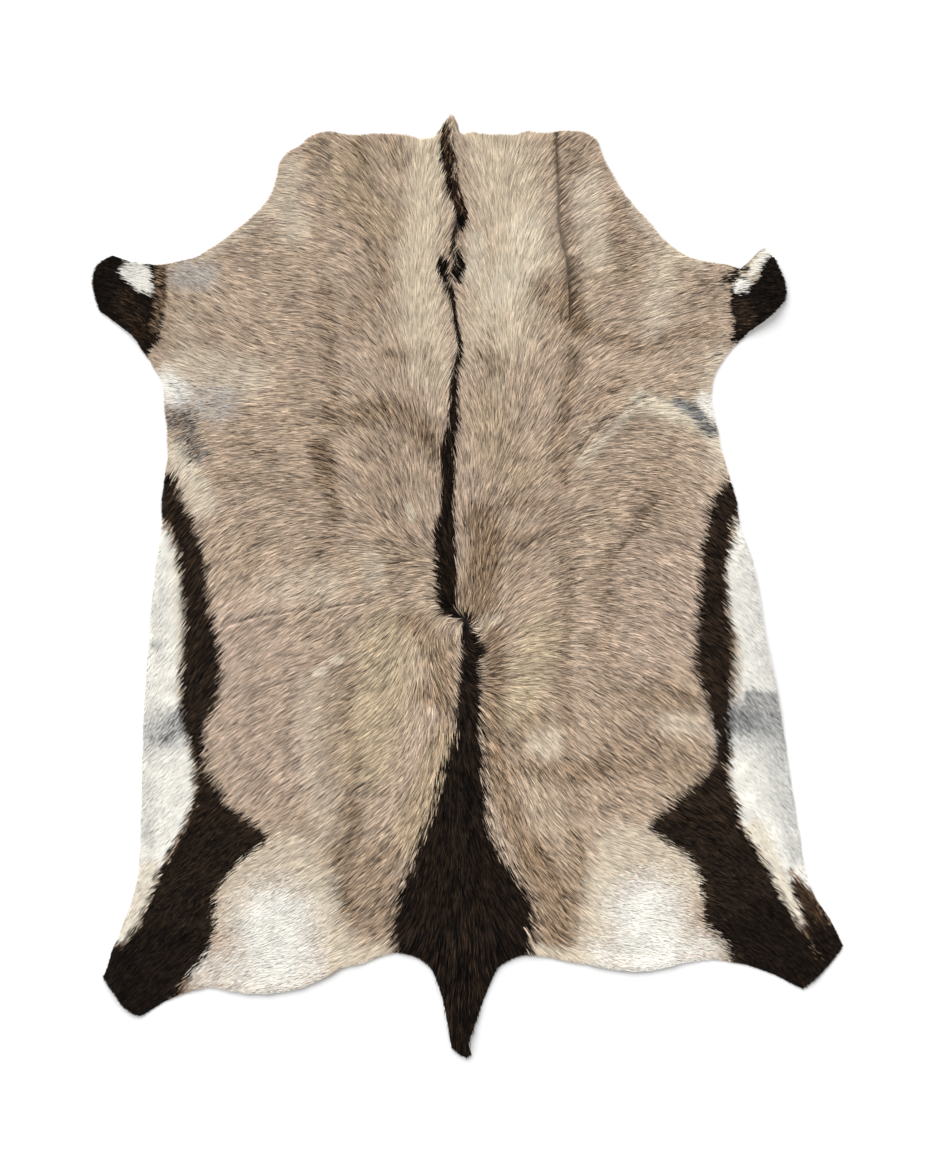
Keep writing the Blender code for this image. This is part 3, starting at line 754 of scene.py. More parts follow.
# Lines of folds that no lock crosses: the hair ends there
PARTINGS = [LONG_FOLD]

# Each crease's shade is painted: shade in the folds' creases and grooves, and where it is below zero a
# highlight on a ridge; the cracks and marks are dark marks of the coat
CREASES = [
    Crease("long fold, dark line", 0, 8, 0.6, 3.4, LONG_FOLD),
    Crease("rump groove, left", 0, 8, 0.8, 4, [(-32, -597), (-24, -660), (-10, -737)]),
    Crease("rump groove, right", 0, 8, 0.75, 4, [(25, -542), (12, -580), (3, -615)]),
    Crease("dark knot on the loins", 0, 8, 0.6, 15, [(0, -374), (3, -404)]),
    Crease("long fold, pale ridge", 3, 6, -0.35, 3.8, [(194, 573), (190, 544), (196, 491)]),
    Crease("left cross crease", 2, 10, 0.45, 3.0, [(-467, -73), (-426, -62), (-384, -52), (-283, -39),
        (-186, -29)]),
    Crease("shoulder pucker, first stroke", 3, 8, 0.45, 3.4, [(251, 309), (264, 320), (283, 324)]),
    Crease("shoulder pucker, second stroke", 3, 8, 0.45, 3.4, [(302, 343), (323, 351)]),
    Crease("shoulder pucker, third stroke", 3, 8, 0.4, 3.4, [(327, 360), (355, 360)]),
    Crease("shoulder pucker, tail", 3, 11, 0.3, 5.7, [(251, 309), (224, 278), (205, 248)]),
    Crease("right flank streak", 2, 15, 0.28, 7.6, [(277, 62), (319, 123), (357, 172)]),
    Crease("right loin pleat line", 2, 11, -0.25, 5.7, [(260, -128), (346, -164), (431, -202)]),
    Crease("left corner line", 3, 8, 0.5, 3.0, [(-291, 791), (-285, 820), (-270, 848)]),
    Crease("left neck line", 2, 10, 0.35, 4.8, [(-217, 843), (-201, 814), (-192, 788)]),
    Crease("leg crack, left", 0, 6, 0.6, 1.7, [(-568, 387), (-555, 377), (-547, 362), (-540, 352)]),
    Crease("leg mark, left", 0, 6, 0.7, 1.7, [(-570, 446), (-569, 436)]),
    Crease("shoulder crack, right", 0, 6, 0.55, 1.9, [(431, 598), (445, 577), (454, 577), (462, 582)]),
    Crease("shoulder crack, right, second", 0, 6, 0.6, 1.9, [(458, 552), (462, 567), (483, 573),
        (494, 563)]),
    Crease("shoulder mark, right", 0, 6, 0.7, 1.9, [(469, 550), (473, 546)]),
    Crease("neck mark, right", 0, 6, 0.6, 1.9, [(353, 641), (361, 634), (372, 630)]),
    Crease("armpit mark, right", 0, 6, 0.75, 2.1, [(467, 438), (483, 442)]),
]

# The marks, from the lowest to the one on top
MARKS = [*PATCHES, *BELLIES, *BELLY_PATCHES, *DARK_AREAS, STRIPE, *LATE_AREAS, *LATE_PATCHES, *CREASES]
AREAS = {area.name: area for area in [*BELLIES, *DARK_AREAS, *LATE_AREAS]}
# The crisp areas with short hair, and how many millimetres beyond each of them it starts
SHORT_AREAS = {"left belly": 0, "right belly": 0, "left band": 0, "right band": 0,
    "left foreleg": 40, "right foreleg": 60}
SHORT_TONES = (Tone.WHITE, Tone.SLATE, Tone.ASH)


@dataclass(frozen=True)
class Finish:
    """A material: its name, how rough its surface is and how strongly that reflects."""

    name: str
    roughness: float
    specular: float

    def build(self) -> bpy.types.Material:
        """Build the material from its surface and what its own looks add.

        Returns:
            The material.
        """
        material = bpy.data.materials.new(self.name)
        material.use_nodes = True
        tree = material.node_tree
        tree.nodes.clear()
        surface = add_node(tree, "ShaderNodeBsdfPrincipled", {
            "Roughness": self.roughness,
            "Specular IOR Level": self.specular,
            **self.looks(tree),
        })
        add_node(tree, "ShaderNodeOutputMaterial", {"Surface": surface.outputs["BSDF"]})
        return material

    def looks(self, tree: bpy.types.NodeTree) -> dict[str, object]:
        """Give the surface's other inputs by identifier; a plain finish has none."""
        return {}

    @staticmethod
    def tone(tree: bpy.types.NodeTree) -> bpy.types.NodeSocket:
        """Read the colour that is stored on the mesh."""
        return add_node(tree, "ShaderNodeAttribute", attribute_name="tone").outputs["Color"]

    @staticmethod
    def noise(tree: bpy.types.NodeTree, size: float, detail: float) -> bpy.types.NodeSocket:
        """Add noise in the object's own coordinates, with a grain size in metres."""
        place = add_node(tree, "ShaderNodeTexCoord").outputs["Object"]
        return add_node(tree, "ShaderNodeTexNoise", {
            "Vector": place, "Scale": 1 / size, "Detail": detail}).outputs["Fac"]

    @staticmethod
    def bump(tree: bpy.types.NodeTree, height: bpy.types.NodeSocket, strength: float,
             depth: float) -> bpy.types.NodeSocket:
        """Raise the surface by a height, to a depth in metres."""
        return add_node(tree, "ShaderNodeBump", {
            "Height": height, "Strength": strength, "Distance": depth}).outputs["Normal"]


@dataclass(frozen=True)
class HairFinish(Finish):
    """Guard hair of an antelope: keratin, a little waxy, so a lock has a broad, soft gloss."""

    name: str = "antelope guard hair"
    roughness: float = 0.62
    specular: float = 0.06
    ior: float = 1.55
    mottle_size: float = 0.035
    mottle: float = 0.10

    def looks(self, tree: bpy.types.NodeTree) -> dict[str, object]:
        """Colour the locks from their own tone attribute, under faint clouds.

        Args:
            tree: the material's nodes.

        Returns:
            The surface's inputs by identifier.
        """
        # Oil and dust in the coat: faint lighter and darker clouds about 35 mm across
        cloud = add_node(tree, "ShaderNodeMapRange", {
            "Value": self.noise(tree, self.mottle_size, 3.0),
            "From Min": 0.3,
            "From Max": 0.7,
            "To Min": 1 - self.mottle,
            "To Max": 1 + self.mottle,
        })
        colour = add_node(tree, "ShaderNodeVectorMath", {
            "Vector": self.tone(tree),
            "Scale": cloud.outputs["Result"],
        }, operation="SCALE")
        return {"Base Color": colour.outputs["Vector"], "IOR": self.ior}


@dataclass(frozen=True)
class SkinFinish(Finish):
    """The hair side of the skin: short undercoat on tanned skin, dull and a shade darker than the hair."""

    name: str = "undercoat on tanned skin"
    roughness: float = 0.85
    specular: float = 0.25
    grain_size: float = 0.0018
    grain_depth: float = 0.0004

    def looks(self, tree: bpy.types.NodeTree) -> dict[str, object]:
        """Colour the skin from its tone attribute, with a fine grain."""
        grain = self.noise(tree, self.grain_size, 2.0)
        return {"Base Color": self.tone(tree), "Normal": self.bump(tree, grain, 0.6, self.grain_depth)}


@dataclass(frozen=True)
class FleshFinish(Finish):
    """The flesh side: chrome-tanned suede, pale and matt, with faint clouds.

    Its nap is finer than a millimetre, and is drawn a little coarser so that it still shows.
    """

    name: str = "tanned flesh side suede"
    roughness: float = 0.92
    specular: float = 0.2
    colour: str = "E3DCD0"
    shade: str = "C2B6A6"
    nap_size: float = 0.0012
    nap_depth: float = 0.0003
    cloud_size: float = 0.06
    sheen: float = 0.3

    def looks(self, tree: bpy.types.NodeTree) -> dict[str, object]:
        """Colour the suede in two pale tones, with a fine nap.

        Args:
            tree: the material's nodes.

        Returns:
            The surface's inputs by identifier.
        """
        clouds = add_node(tree, "ShaderNodeMapRange", {
            "Value": self.noise(tree, self.cloud_size, 6.0),
            "From Min": 0.35,
            "From Max": 0.65,
        })
        colour = add_node(tree, "ShaderNodeMix", {
            "Factor_Float": clouds.outputs["Result"],
            "A_Color": (*linear(self.colour), 1),
            "B_Color": (*linear(self.shade), 1),
        }, data_type="RGBA")
        return {
            "Base Color": next(socket for socket in colour.outputs if socket.identifier == "Result_Color"),
            "Normal": self.bump(tree, self.noise(tree, self.nap_size, 3.0), 0.5, self.nap_depth),
            "Sheen Weight": self.sheen,
            "Sheen Roughness": 2 * self.sheen,
        }


@dataclass(frozen=True)
class PaperFinish(Finish):
    """The studio floor: matt white paper, which shows soft shadows and no gloss."""

    name: str = "matt white paper floor"
    roughness: float = 0.9
    specular: float = 0.1
    colour: str = "F5F5F5"

    def looks(self, tree: bpy.types.NodeTree) -> dict[str, object]:
        """Give the paper's colour."""
        return {"Base Color": (*linear(self.colour), 1)}


@dataclass(frozen=True)
class Markings:
    """The animal's colours, with painted shade in the hide's hollows and folds: a clouded fawn ground under
    all the marks.
    """

    ragged: float = 3.6
    ragged_size: float = 7
    ragged_seed: int = 11
    stray: float = 5
    clouds: tuple[tuple[float, float], ...] = ((110, 0.06), (40, 0.04), (14, 0.03))
    tints: tuple[tuple[Tone, float], ...] = ((Tone.SAND, 95), (Tone.ROSE, 80))
    tint: float = 0.22
    tint_seed: int = 5

    def tones(self, at: np.ndarray, chance: np.ndarray) -> np.ndarray:
        """Give the coat's colour at each place, with the painted shade and highlights of its hollows, folds
        and creases.

        Args:
            at: the places, one row each, in millimetres.
            chance: a number from 0 to 1 for each place, which settles where single locks differ.

        Returns:
            Linear red, green and blue for each place.
        """
        colour = np.tile(linear(Tone.FAWN.value), (len(at), 1))
        for seed, (cell, amount) in enumerate(self.clouds):
            colour *= 1 + amount * soft_noise(at, cell, seed)[:, None]
        for seed, (tone, cell) in enumerate(self.tints, self.tint_seed):
            share = self.tint * np.clip(soft_noise(at, cell, seed), 0, 1)
            colour += (linear(tone.value) - colour) * share[:, None]
        ragged = self.ragged * soft_noise(at, self.ragged_size, self.ragged_seed)
        spots = Spots(at, chance, ragged, self.stray * (2 * chance - 1))
        for mark in MARKS:
            mark.lay(colour, spots)
        return np.clip(colour, 0, 1)


@dataclass(frozen=True)
class Comb:
    """The way that the hair lies: out from the spine, forward on the neck and back on the loins."""

    midline: float = 14
    wobble: float = 7
    wobble_size: float = 17
    wobble_seed: int = 21
    swirl: float = 6
    swirl_size: float = 60
    swirl_seed: int = 22
    streak_steps: int = 7

    def directions(self, spots: np.ndarray) -> np.ndarray:
        """Give the direction in which the hair's tips point.

        Args:
            spots: the spots, one row each, in millimetres.

        Returns:
            A unit vector for each spot.
        """
        out = from_spine(spots)
        right = np.clip(0.5 + out / (2 * self.midline), 0, 1)[:, None]
        facing = self.lie(Side.RIGHT, spots, np.abs(out)) * right
        facing += self.lie(Side.LEFT, spots, np.abs(out)) * (1 - right)
        turn = self.wobble * soft_noise(spots, self.wobble_size, self.wobble_seed)
        turn = np.radians(turn + self.swirl * soft_noise(spots, self.swirl_size, self.swirl_seed))
        x, y = facing.T
        turned = np.column_stack([x * np.cos(turn) - y * np.sin(turn), x * np.sin(turn) + y * np.cos(turn)])
        return turned / np.maximum(np.hypot(*turned.T), TINY)[:, None]

    def streaks(self, spots: np.ndarray, width: float, length: float, seed: int) -> np.ndarray:
        """Give noise that is drawn out along the hair.

        Args:
            spots: the spots, one row each, in millimetres.
            width: a streak's width.
            length: its length.
            seed: the noise's own number.

        Returns:
            A value for each spot, mostly from -1 to 1.
        """
        way = self.directions(spots)
        places = np.linspace(-length / 2, length / 2, self.streak_steps)
        return sum(soft_noise(spots + place * way, width, seed) for place in places) / math.sqrt(len(places))

    def lie(self, side: Side, spots: np.ndarray, out: np.ndarray) -> np.ndarray:
        """Read one side's lay table.

        Args:
            side: the side of the spine.
            spots: the spots, one row each, in millimetres.
            out: each spot's distance from the spine.

        Returns:
            A unit vector for each spot.
        """
        levels = [row.y for row in LAYS[side]]
        table = np.radians([row.turns for row in LAYS[side]])
        columns = np.stack([np.interp(spots[:, 1], levels, turns) for turns in table.T], axis=1)
        place = np.interp(out, LAY_PLACES, np.arange(len(LAY_PLACES)))
        first = np.minimum(place.astype(int), len(LAY_PLACES) - 2)
        share = place - first
        each = np.arange(len(spots))
        turn = columns[each, first] * (1 - share) + columns[each, first + 1] * share
        return np.column_stack([side.value * np.cos(turn), np.sin(turn)])


@dataclass
class Solid:
    """The hide's solid in the frame, which gives the skin its cut edge and its folds."""

    node: str = "hide"
    weld: float = 0.01
    corner: float = 38
    most_thick: float = 12.5
    parallel: float = 0.85
    below: float = 100
    points: np.ndarray = field(init=False)
    ring: np.ndarray = field(init=False)
    under: BVHTree = field(init=False)

    def __post_init__(self) -> None:
        """Weld a copy of the solid's loose triangles and find its underside and its edge."""
        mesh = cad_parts[self.node].data
        mesh.calc_loop_triangles()
        raw = np.empty(len(mesh.vertices) * 3)
        mesh.vertices.foreach_get("co", raw)
        corners = np.empty(len(mesh.loop_triangles) * 3, dtype=np.int32)
        mesh.loop_triangles.foreach_get("vertices", corners)
        places = np.round(raw.reshape(-1, 3) / MM / self.weld).astype(np.int64)
        _, first, same = np.unique(places, axis=0, return_index=True, return_inverse=True)
        self.points = raw.reshape(-1, 3)[first] / MM
        under = self.underside(same.ravel()[corners].reshape(-1, 3))
        self.under = BVHTree.FromPolygons(self.points.tolist(), under.tolist())
        self.ring = self.edge_of(under)

    def underside(self, faces: np.ndarray) -> np.ndarray:
        """Spread from a face that looks down, over all faces that have the top close behind them.

        Args:
            faces: all the solid's faces, one row each.

        Returns:
            The underside's faces, one row each.
        """
        a, b, c = (self.points[faces[:, k]] for k in range(3))
        normals = np.cross(b - a, c - a)
        normals /= np.maximum(np.linalg.norm(normals, axis=1), TINY)[:, None]
        middles = (a + b + c) / 3
        body = BVHTree.FromPolygons(self.points.tolist(), faces.tolist())
        across = {}
        for number, face in enumerate(faces.tolist()):
            for k in range(3):
                across[face[k], face[(k + 1) % 3]] = number
        found = {int(np.argmin(normals[:, 2]))}
        todo = list(found)
        while todo:
            face = faces[todo.pop()].tolist()
            for k in range(3):
                other = across[face[(k + 1) % 3], face[k]]
                if other in found:
                    continue
                inward = Vector(-normals[other])
                start = Vector(middles[other]) + self.weld * inward
                _, facing, *_ = body.ray_cast(start, inward, self.most_thick)
                if facing is not None and facing.dot(inward) > self.parallel:
                    found.add(other)
                    todo.append(other)
        return faces[sorted(found)]

    def edge_of(self, faces: np.ndarray) -> np.ndarray:
        """Walk round the rim of a set of faces.

        Args:
            faces: the faces' points, one row each.

        Returns:
            The rim's points in order, in millimetres.
        """
        after = {b: a for a, b in rim_of(faces)}
        walks = []
        while after:
            walks.append([min(after)])
            while walks[-1][-1] in after:
                walks[-1].append(after.pop(walks[-1][-1]))
        return self.points[max(walks, key=len)[:-1]][:, :2]

    def fine_ring(self, step: float) -> np.ndarray:
        """Draw the edge as smooth runs between its sharp corners.

        Args:
            step: the distance between points in millimetres.

        Returns:
            The ring's points, one row each.
        """
        before = self.ring - np.roll(self.ring, 1, axis=0)
        after = np.roll(self.ring, -1, axis=0) - self.ring
        turn = np.degrees(np.abs(np.angle(np.exp(1j * (np.arctan2(*after.T) - np.arctan2(*before.T))))))
        sharp = np.flatnonzero(turn > self.corner)
        ring = np.roll(self.ring, -sharp[0], axis=0)
        ends = [*(sharp - sharp[0]), len(ring)]
        ring = np.vstack([ring, ring[:1]])
        return np.vstack([smooth_path(ring[i:j + 1], step)[:-1] for i, j in zip(ends, ends[1:])])

    def height(self, x: float, y: float) -> float | None:
        """Measure the underside's height over the floor in millimetres, or give None outside the hide."""
        hit, *_ = self.under.ray_cast(Vector((x, y, -self.below)), Vector((0, 0, 1)))
        return None if hit is None else hit.z


@dataclass
class Skin:
    """The tanned skin: one thin sheet on the solid's folds, with the fine creases."""

    solid: Solid
    comb: Comb
    markings: Markings
    edge_step: float = 5
    grid_step: float = 10
    grid_margin: float = 0.7
    crease_rows: tuple[float, ...] = (-8, -3, 0, 3, 8)
    crease_end: float = 4
    rows_apart: float = 6
    thickness: float = 2.0
    smoothing: int = 4
    undercoat: float = 0.55
    sharp: float = 60
    spots: np.ndarray = field(init=False)
    faces: np.ndarray = field(init=False)
    heights: np.ndarray = field(init=False)
    edge_gap: np.ndarray = field(init=False)

    def __post_init__(self) -> None:
        """Lay the sheet's points, join them and raise them to the folds."""
        ring = self.solid.fine_ring(self.edge_step)
        rows = self.clear_of(self.row_points(), ring, self.rows_apart)
        grid = self.clear_of(self.grid_points(ring), ring, self.grid_margin * self.grid_step)
        grid = self.clear_of(grid, rows, self.rows_apart)
        sides = [(i, (i + 1) % len(ring)) for i in range(len(ring))]
        spots = [Vector(spot) for spot in np.vstack([ring, rows, grid])]
        laid = delaunay_2d_cdt(spots, sides, [], INSIDE_ONLY, JOIN_GAP)
        self.spots = np.array([tuple(point) for point in laid[0]])
        self.faces = np.array([face for face in laid[2] if len(face) == 3])
        self.heights = self.settle()
        self.edge_gap = from_points(self.spots, ring)
        log.info("skin: %d points, %d faces a side", len(self.spots), len(self.faces))

    def row_points(self) -> np.ndarray:
        """Lay rows of points along the creases that have a height.

        Returns:
            The points, one row each.
        """
        made = []
        for crease in CREASES:
            if crease.height:
                path = smooth_path(crease.path, self.edge_step)
                along = np.gradient(path, axis=0)
                across = np.column_stack([-along[:, 1], along[:, 0]]) / np.hypot(*along.T)[:, None]
                made.extend(path + shift * across for shift in self.crease_rows)
        return np.vstack(made)

    def grid_points(self, ring: np.ndarray) -> np.ndarray:
        """Lay an even grid of points in the edge's box.

        Args:
            ring: the edge's points.

        Returns:
            The points, one row each.
        """
        low = ring.min(axis=0)
        high = ring.max(axis=0)
        made = []
        for j, y in enumerate(np.arange(low[1], high[1], self.grid_step * math.sqrt(3) / 2)):
            xs = np.arange(low[0] + (j % 2) * self.grid_step / 2, high[0], self.grid_step)
            made.append(np.column_stack([xs, np.full(len(xs), y)]))
        return np.vstack(made)

    def clear_of(self, made: np.ndarray, others: np.ndarray, gap: float) -> np.ndarray:
        """Keep the points that lie on the solid, and at least a gap away from others."""
        clear = made[from_points(made, others) >= gap]
        return clear[[self.solid.height(x, y) is not None for x, y in clear]]

    def settle(self) -> np.ndarray:
        """Rest the sheet on the solid's underside, smooth its facets and add the fine creases.

        Returns:
            Each point's height in millimetres.
        """
        heights = np.empty(len(self.spots))
        for i, (x, y) in enumerate(self.spots):
            height = self.solid.height(x, y)
            heights[i] = self.solid.under.find_nearest(Vector((x, y, 0)))[0].z if height is None else height
        sides = np.vstack([self.faces[:, [0, 1]], self.faces[:, [1, 2]], self.faces[:, [2, 0]]])
        sides = np.unique(np.sort(sides, axis=1), axis=0)
        ends = np.concatenate([sides, sides[:, ::-1]])
        degree = np.bincount(ends[:, 0], minlength=len(heights))
        for _ in range(self.smoothing):
            around = np.bincount(ends[:, 0], heights[ends[:, 1]], minlength=len(heights)) / degree
            heights = (heights + around) / 2
        for crease in CREASES:
            distance, _ = from_path(self.spots, smooth_path(crease.path, self.edge_step))
            away = distance / crease.reach
            heights += crease.height * away * np.exp(1 - away) * (away < self.crease_end)
        return np.maximum(heights, 0)

    def top(self) -> np.ndarray:
        """Give the hair side's points in metres."""
        return np.column_stack([self.spots, self.heights + self.thickness]) * MM

    def build(self, hair_side: bpy.types.Material, flesh_side: bpy.types.Material) -> bpy.types.Object:
        """Build the closed sheet with its two sides.

        Args:
            hair_side: the material of the hair side and the cut edge.
            flesh_side: the material of the side on the floor.

        Returns:
            The skin.
        """
        count = len(self.spots)
        under = np.column_stack([self.spots, self.heights]) * MM
        faces = [tuple(face + count) for face in self.faces]
        faces += [tuple(face[::-1]) for face in self.faces]
        faces += [(a, b, b + count, a + count) for a, b in rim_of(self.faces)]
        mesh = bpy.data.meshes.new("hide_skin")
        mesh.from_pydata(np.vstack([under, self.top()]).tolist(), [], faces)
        mesh.materials.append(hair_side)
        mesh.materials.append(flesh_side)
        slots = np.zeros(len(faces), dtype=np.int32)
        slots[len(self.faces):2 * len(self.faces)] = 1
        mesh.polygons.foreach_set("material_index", slots)
        mesh.polygons.foreach_set("use_smooth", slots >= 0)
        mesh.set_sharp_from_angle(angle=math.radians(self.sharp))
        tones = self.markings.tones(self.spots, np.full(count, MIDDLE_CHANCE)) * self.undercoat
        paint(mesh, np.vstack([tones, tones]))
        return add_object("hide_skin", mesh)


@dataclass(frozen=True)
class Lock:
    """The shape of one lock, a length and a width of 1: a pointed blade that arches along its length."""

    name: str
    places: tuple[float, ...]
    widths: tuple[float, ...]
    rises: tuple[float, ...]
    tip_rise: float = 0.6

    def build(self) -> bpy.types.Object:
        """Build the blade, with its root at the origin and its tip along +X.

        Returns:
            The blade's object, which only the hair trees use.
        """
        points = [(0.0, 0.0, 0.0)]
        for place, width, rise in zip(self.places, self.widths, self.rises):
            points += [(place, -width / 2, rise), (place, width / 2, rise)]
        points.append((1.0, 0.0, self.rises[-1] * self.tip_rise))
        last = len(points) - 1
        faces = [(0, 1, 2), *((k, k + 2, k + 3, k + 1) for k in range(1, last - 2, 2)),
                 (last - 2, last, last - 1)]
        mesh = bpy.data.meshes.new(self.name)
        mesh.from_pydata(points, [], faces)
        mesh.shade_smooth()
        return bpy.data.objects.new(self.name, mesh)

    def shades(self) -> np.ndarray:
        """Give each of the blade's points a place from its root, 0, to its tip, 1."""
        return np.array([0.0, *(place for place in self.places for _ in range(2)), 1.0])


class Draw(Enum):
    """A lock's random numbers, each with what it adds to the tree's seed."""

    ROLL = 0.0
    PITCH = 1.0
    YAW = 2.0
    LENGTH = 3.0
    WIDTH = 4.0


@dataclass
class HairTree:
    """The node tree that sets locks on a surface, along its comb attribute."""

    name: str = "locks on skin"
    pitch_spread: float = 0.5
    length_spread: float = 0.25
    width_spread: float = 0.3
    tree: bpy.types.NodeTree = field(init=False)
    sockets: dict[str, str] = field(init=False)

    def __post_init__(self) -> None:
        """Build the tree and its named inputs."""
        self.tree = bpy.data.node_groups.new(self.name, "GeometryNodeTree")
        self.sockets = {}
        kinds = {"Geometry": "Geometry", "Lock": "Object", "Seed": "Int", "Finish": "Material"}
        kinds |= dict.fromkeys(("Density", "Width", "Lift", "Roll", "Stray"), "Float")
        face = self.tree.interface
        for name, kind in kinds.items():
            socket = face.new_socket(name=name, in_out="INPUT", socket_type="NodeSocket" + kind)
            self.sockets[name] = socket.identifier
        made = face.new_socket(name="Geometry", in_out="OUTPUT", socket_type="NodeSocketGeometry")
        self.wire(made.identifier)

    def wire(self, output: str) -> None:
        """Add the tree's nodes: scatter, turn, size, realize and dress.

        Args:
            output: the identifier of the tree's output.
        """
        tree = self.tree
        given = add_node(tree, "NodeGroupInput").outputs
        seed = given["Seed"]
        roots = add_node(tree, "GeometryNodeDistributePointsOnFaces", {
            "Mesh": given["Geometry"],
            "Density": given["Density"],
            "Seed": seed,
        }, distribute_method="RANDOM")
        upright = add_node(tree, "FunctionNodeAlignRotationToVector", {
            "Vector": roots.outputs["Normal"],
        }, axis="Z")
        combed = add_node(tree, "FunctionNodeAlignRotationToVector", {
            "Rotation": upright.outputs["Rotation"],
            "Vector": self.read("comb", "FLOAT_VECTOR"),
        }, axis="X", pivot_axis="Z")
        lift = self.calc("MULTIPLY", self.spread(self.pitch_spread, seed, Draw.PITCH, 1.0), given["Lift"])
        turn = add_node(tree, "ShaderNodeCombineXYZ", {
            "X": self.spread(given["Roll"], seed, Draw.ROLL),
            "Y": self.calc("MULTIPLY", lift, -1.0),
            "Z": self.spread(given["Stray"], seed, Draw.YAW),
        })
        turned = add_node(tree, "FunctionNodeRotateRotation", {
            "Rotation": combed.outputs["Rotation"],
            "Rotate By": turn.outputs["Vector"],
        }, rotation_space="LOCAL")
        longer = self.spread(self.length_spread, seed, Draw.LENGTH, 1.0)
        length = self.calc("MULTIPLY", self.read("reach", "FLOAT"), longer)
        wider = self.spread(self.width_spread, seed, Draw.WIDTH, 1.0)
        size = add_node(tree, "ShaderNodeCombineXYZ", {
            "X": length,
            "Y": self.calc("MULTIPLY", given["Width"], wider),
            "Z": length,
        })
        blade = add_node(tree, "GeometryNodeObjectInfo", {"Object": given["Lock"], "As Instance": True})
        locks = add_node(tree, "GeometryNodeInstanceOnPoints", {
            "Points": roots.outputs["Points"],
            "Instance": blade.outputs["Geometry"],
            "Rotation": turned.outputs["Rotation"],
            "Scale": size.outputs["Vector"],
        })
        made = add_node(tree, "GeometryNodeRealizeInstances", {"Geometry": locks.outputs["Instances"]})
        dressed = add_node(tree, "GeometryNodeSetMaterial", {
            "Geometry": made.outputs["Geometry"],
            "Material": given["Finish"],
        })
        add_node(tree, "NodeGroupOutput", {output: dressed.outputs["Geometry"]})

    def read(self, name: str, kind: str) -> bpy.types.NodeSocket:
        """Read one of the surface's attributes, of a given data type."""
        return add_node(self.tree, "GeometryNodeInputNamedAttribute", {"Name": name},
                        data_type=kind).outputs["Attribute"]

    def calc(self, operation: str, *values: object) -> bpy.types.NodeSocket:
        """Add a math node on up to three values."""
        inputs = dict(zip(("Value", "Value_001", "Value_002"), values))
        return add_node(self.tree, "ShaderNodeMath", inputs, operation=operation).outputs["Value"]

    def spread(self, amount: object, seed: bpy.types.NodeSocket, draw: Draw,
               mean: float = 0.0) -> bpy.types.NodeSocket:
        """Add a random number for each lock.

        Args:
            amount: how far it goes each way from its mean.
            seed: the tree's seed.
            draw: which of the lock's random numbers it is.
            mean: its middle value.

        Returns:
            The number's output.
        """
        unit = add_node(self.tree, "FunctionNodeRandomValue", {
            "Min_001": -1.0,
            "Max_001": 1.0,
            "Seed": self.calc("ADD", seed, draw.value),
        }, data_type="FLOAT")
        value = next(socket for socket in unit.outputs if socket.identifier == "Value_001")
        return self.calc("MULTIPLY_ADD", value, amount, mean)

    def grow(self, ground: bpy.types.Object, values: Mapping[str, object]) -> bpy.types.Mesh:
        """Grow locks on a surface.

        Args:
            ground: the surface, with the comb and reach attributes.
            values: the tree's inputs by name.

        Returns:
            The locks as one plain mesh.
        """
        modifier = ground.modifiers.new(self.name, "NODES")
        modifier.node_group = self.tree
        for name, value in values.items():
            modifier[self.sockets[name]] = value
        grown = ground.evaluated_get(bpy.context.evaluated_depsgraph_get())
        mesh = bpy.data.meshes.new_from_object(grown)
        ground.modifiers.remove(modifier)
        return mesh


@dataclass(frozen=True)
class Hair:
    """A kind of hair: how long, wide and dense its locks are, in millimetres, and how they stand."""

    lock: Lock
    length: float
    width: float
    density: float
    lift: float
    roll: float
    stray: float
    contrast: float
    overhang: float
    seed: int


COAT_LOCK = Lock("coat lock", (0.42,), (1.0,), (0.045,))
LONG_LOCK = Lock("long lock", (0.3, 0.65), (1.0, 0.8), (0.07, 0.1))

# A lock stands for a tuft of hairs that are 0.06 mm thick, too fine to draw one by one
COAT_HAIR = Hair(lock=COAT_LOCK, length=26, width=1.45, density=240000, lift=8, roll=34, stray=4,
                 contrast=1.0, overhang=2, seed=3)
CREST_HAIR = Hair(lock=LONG_LOCK, length=34, width=2.0, density=130000, lift=14, roll=30, stray=9,
                  contrast=0.9, overhang=6, seed=40)
TAIL_HAIR = Hair(lock=LONG_LOCK, length=42, width=2.0, density=90000, lift=8, roll=30, stray=6,
                 contrast=0.8, overhang=1, seed=50)


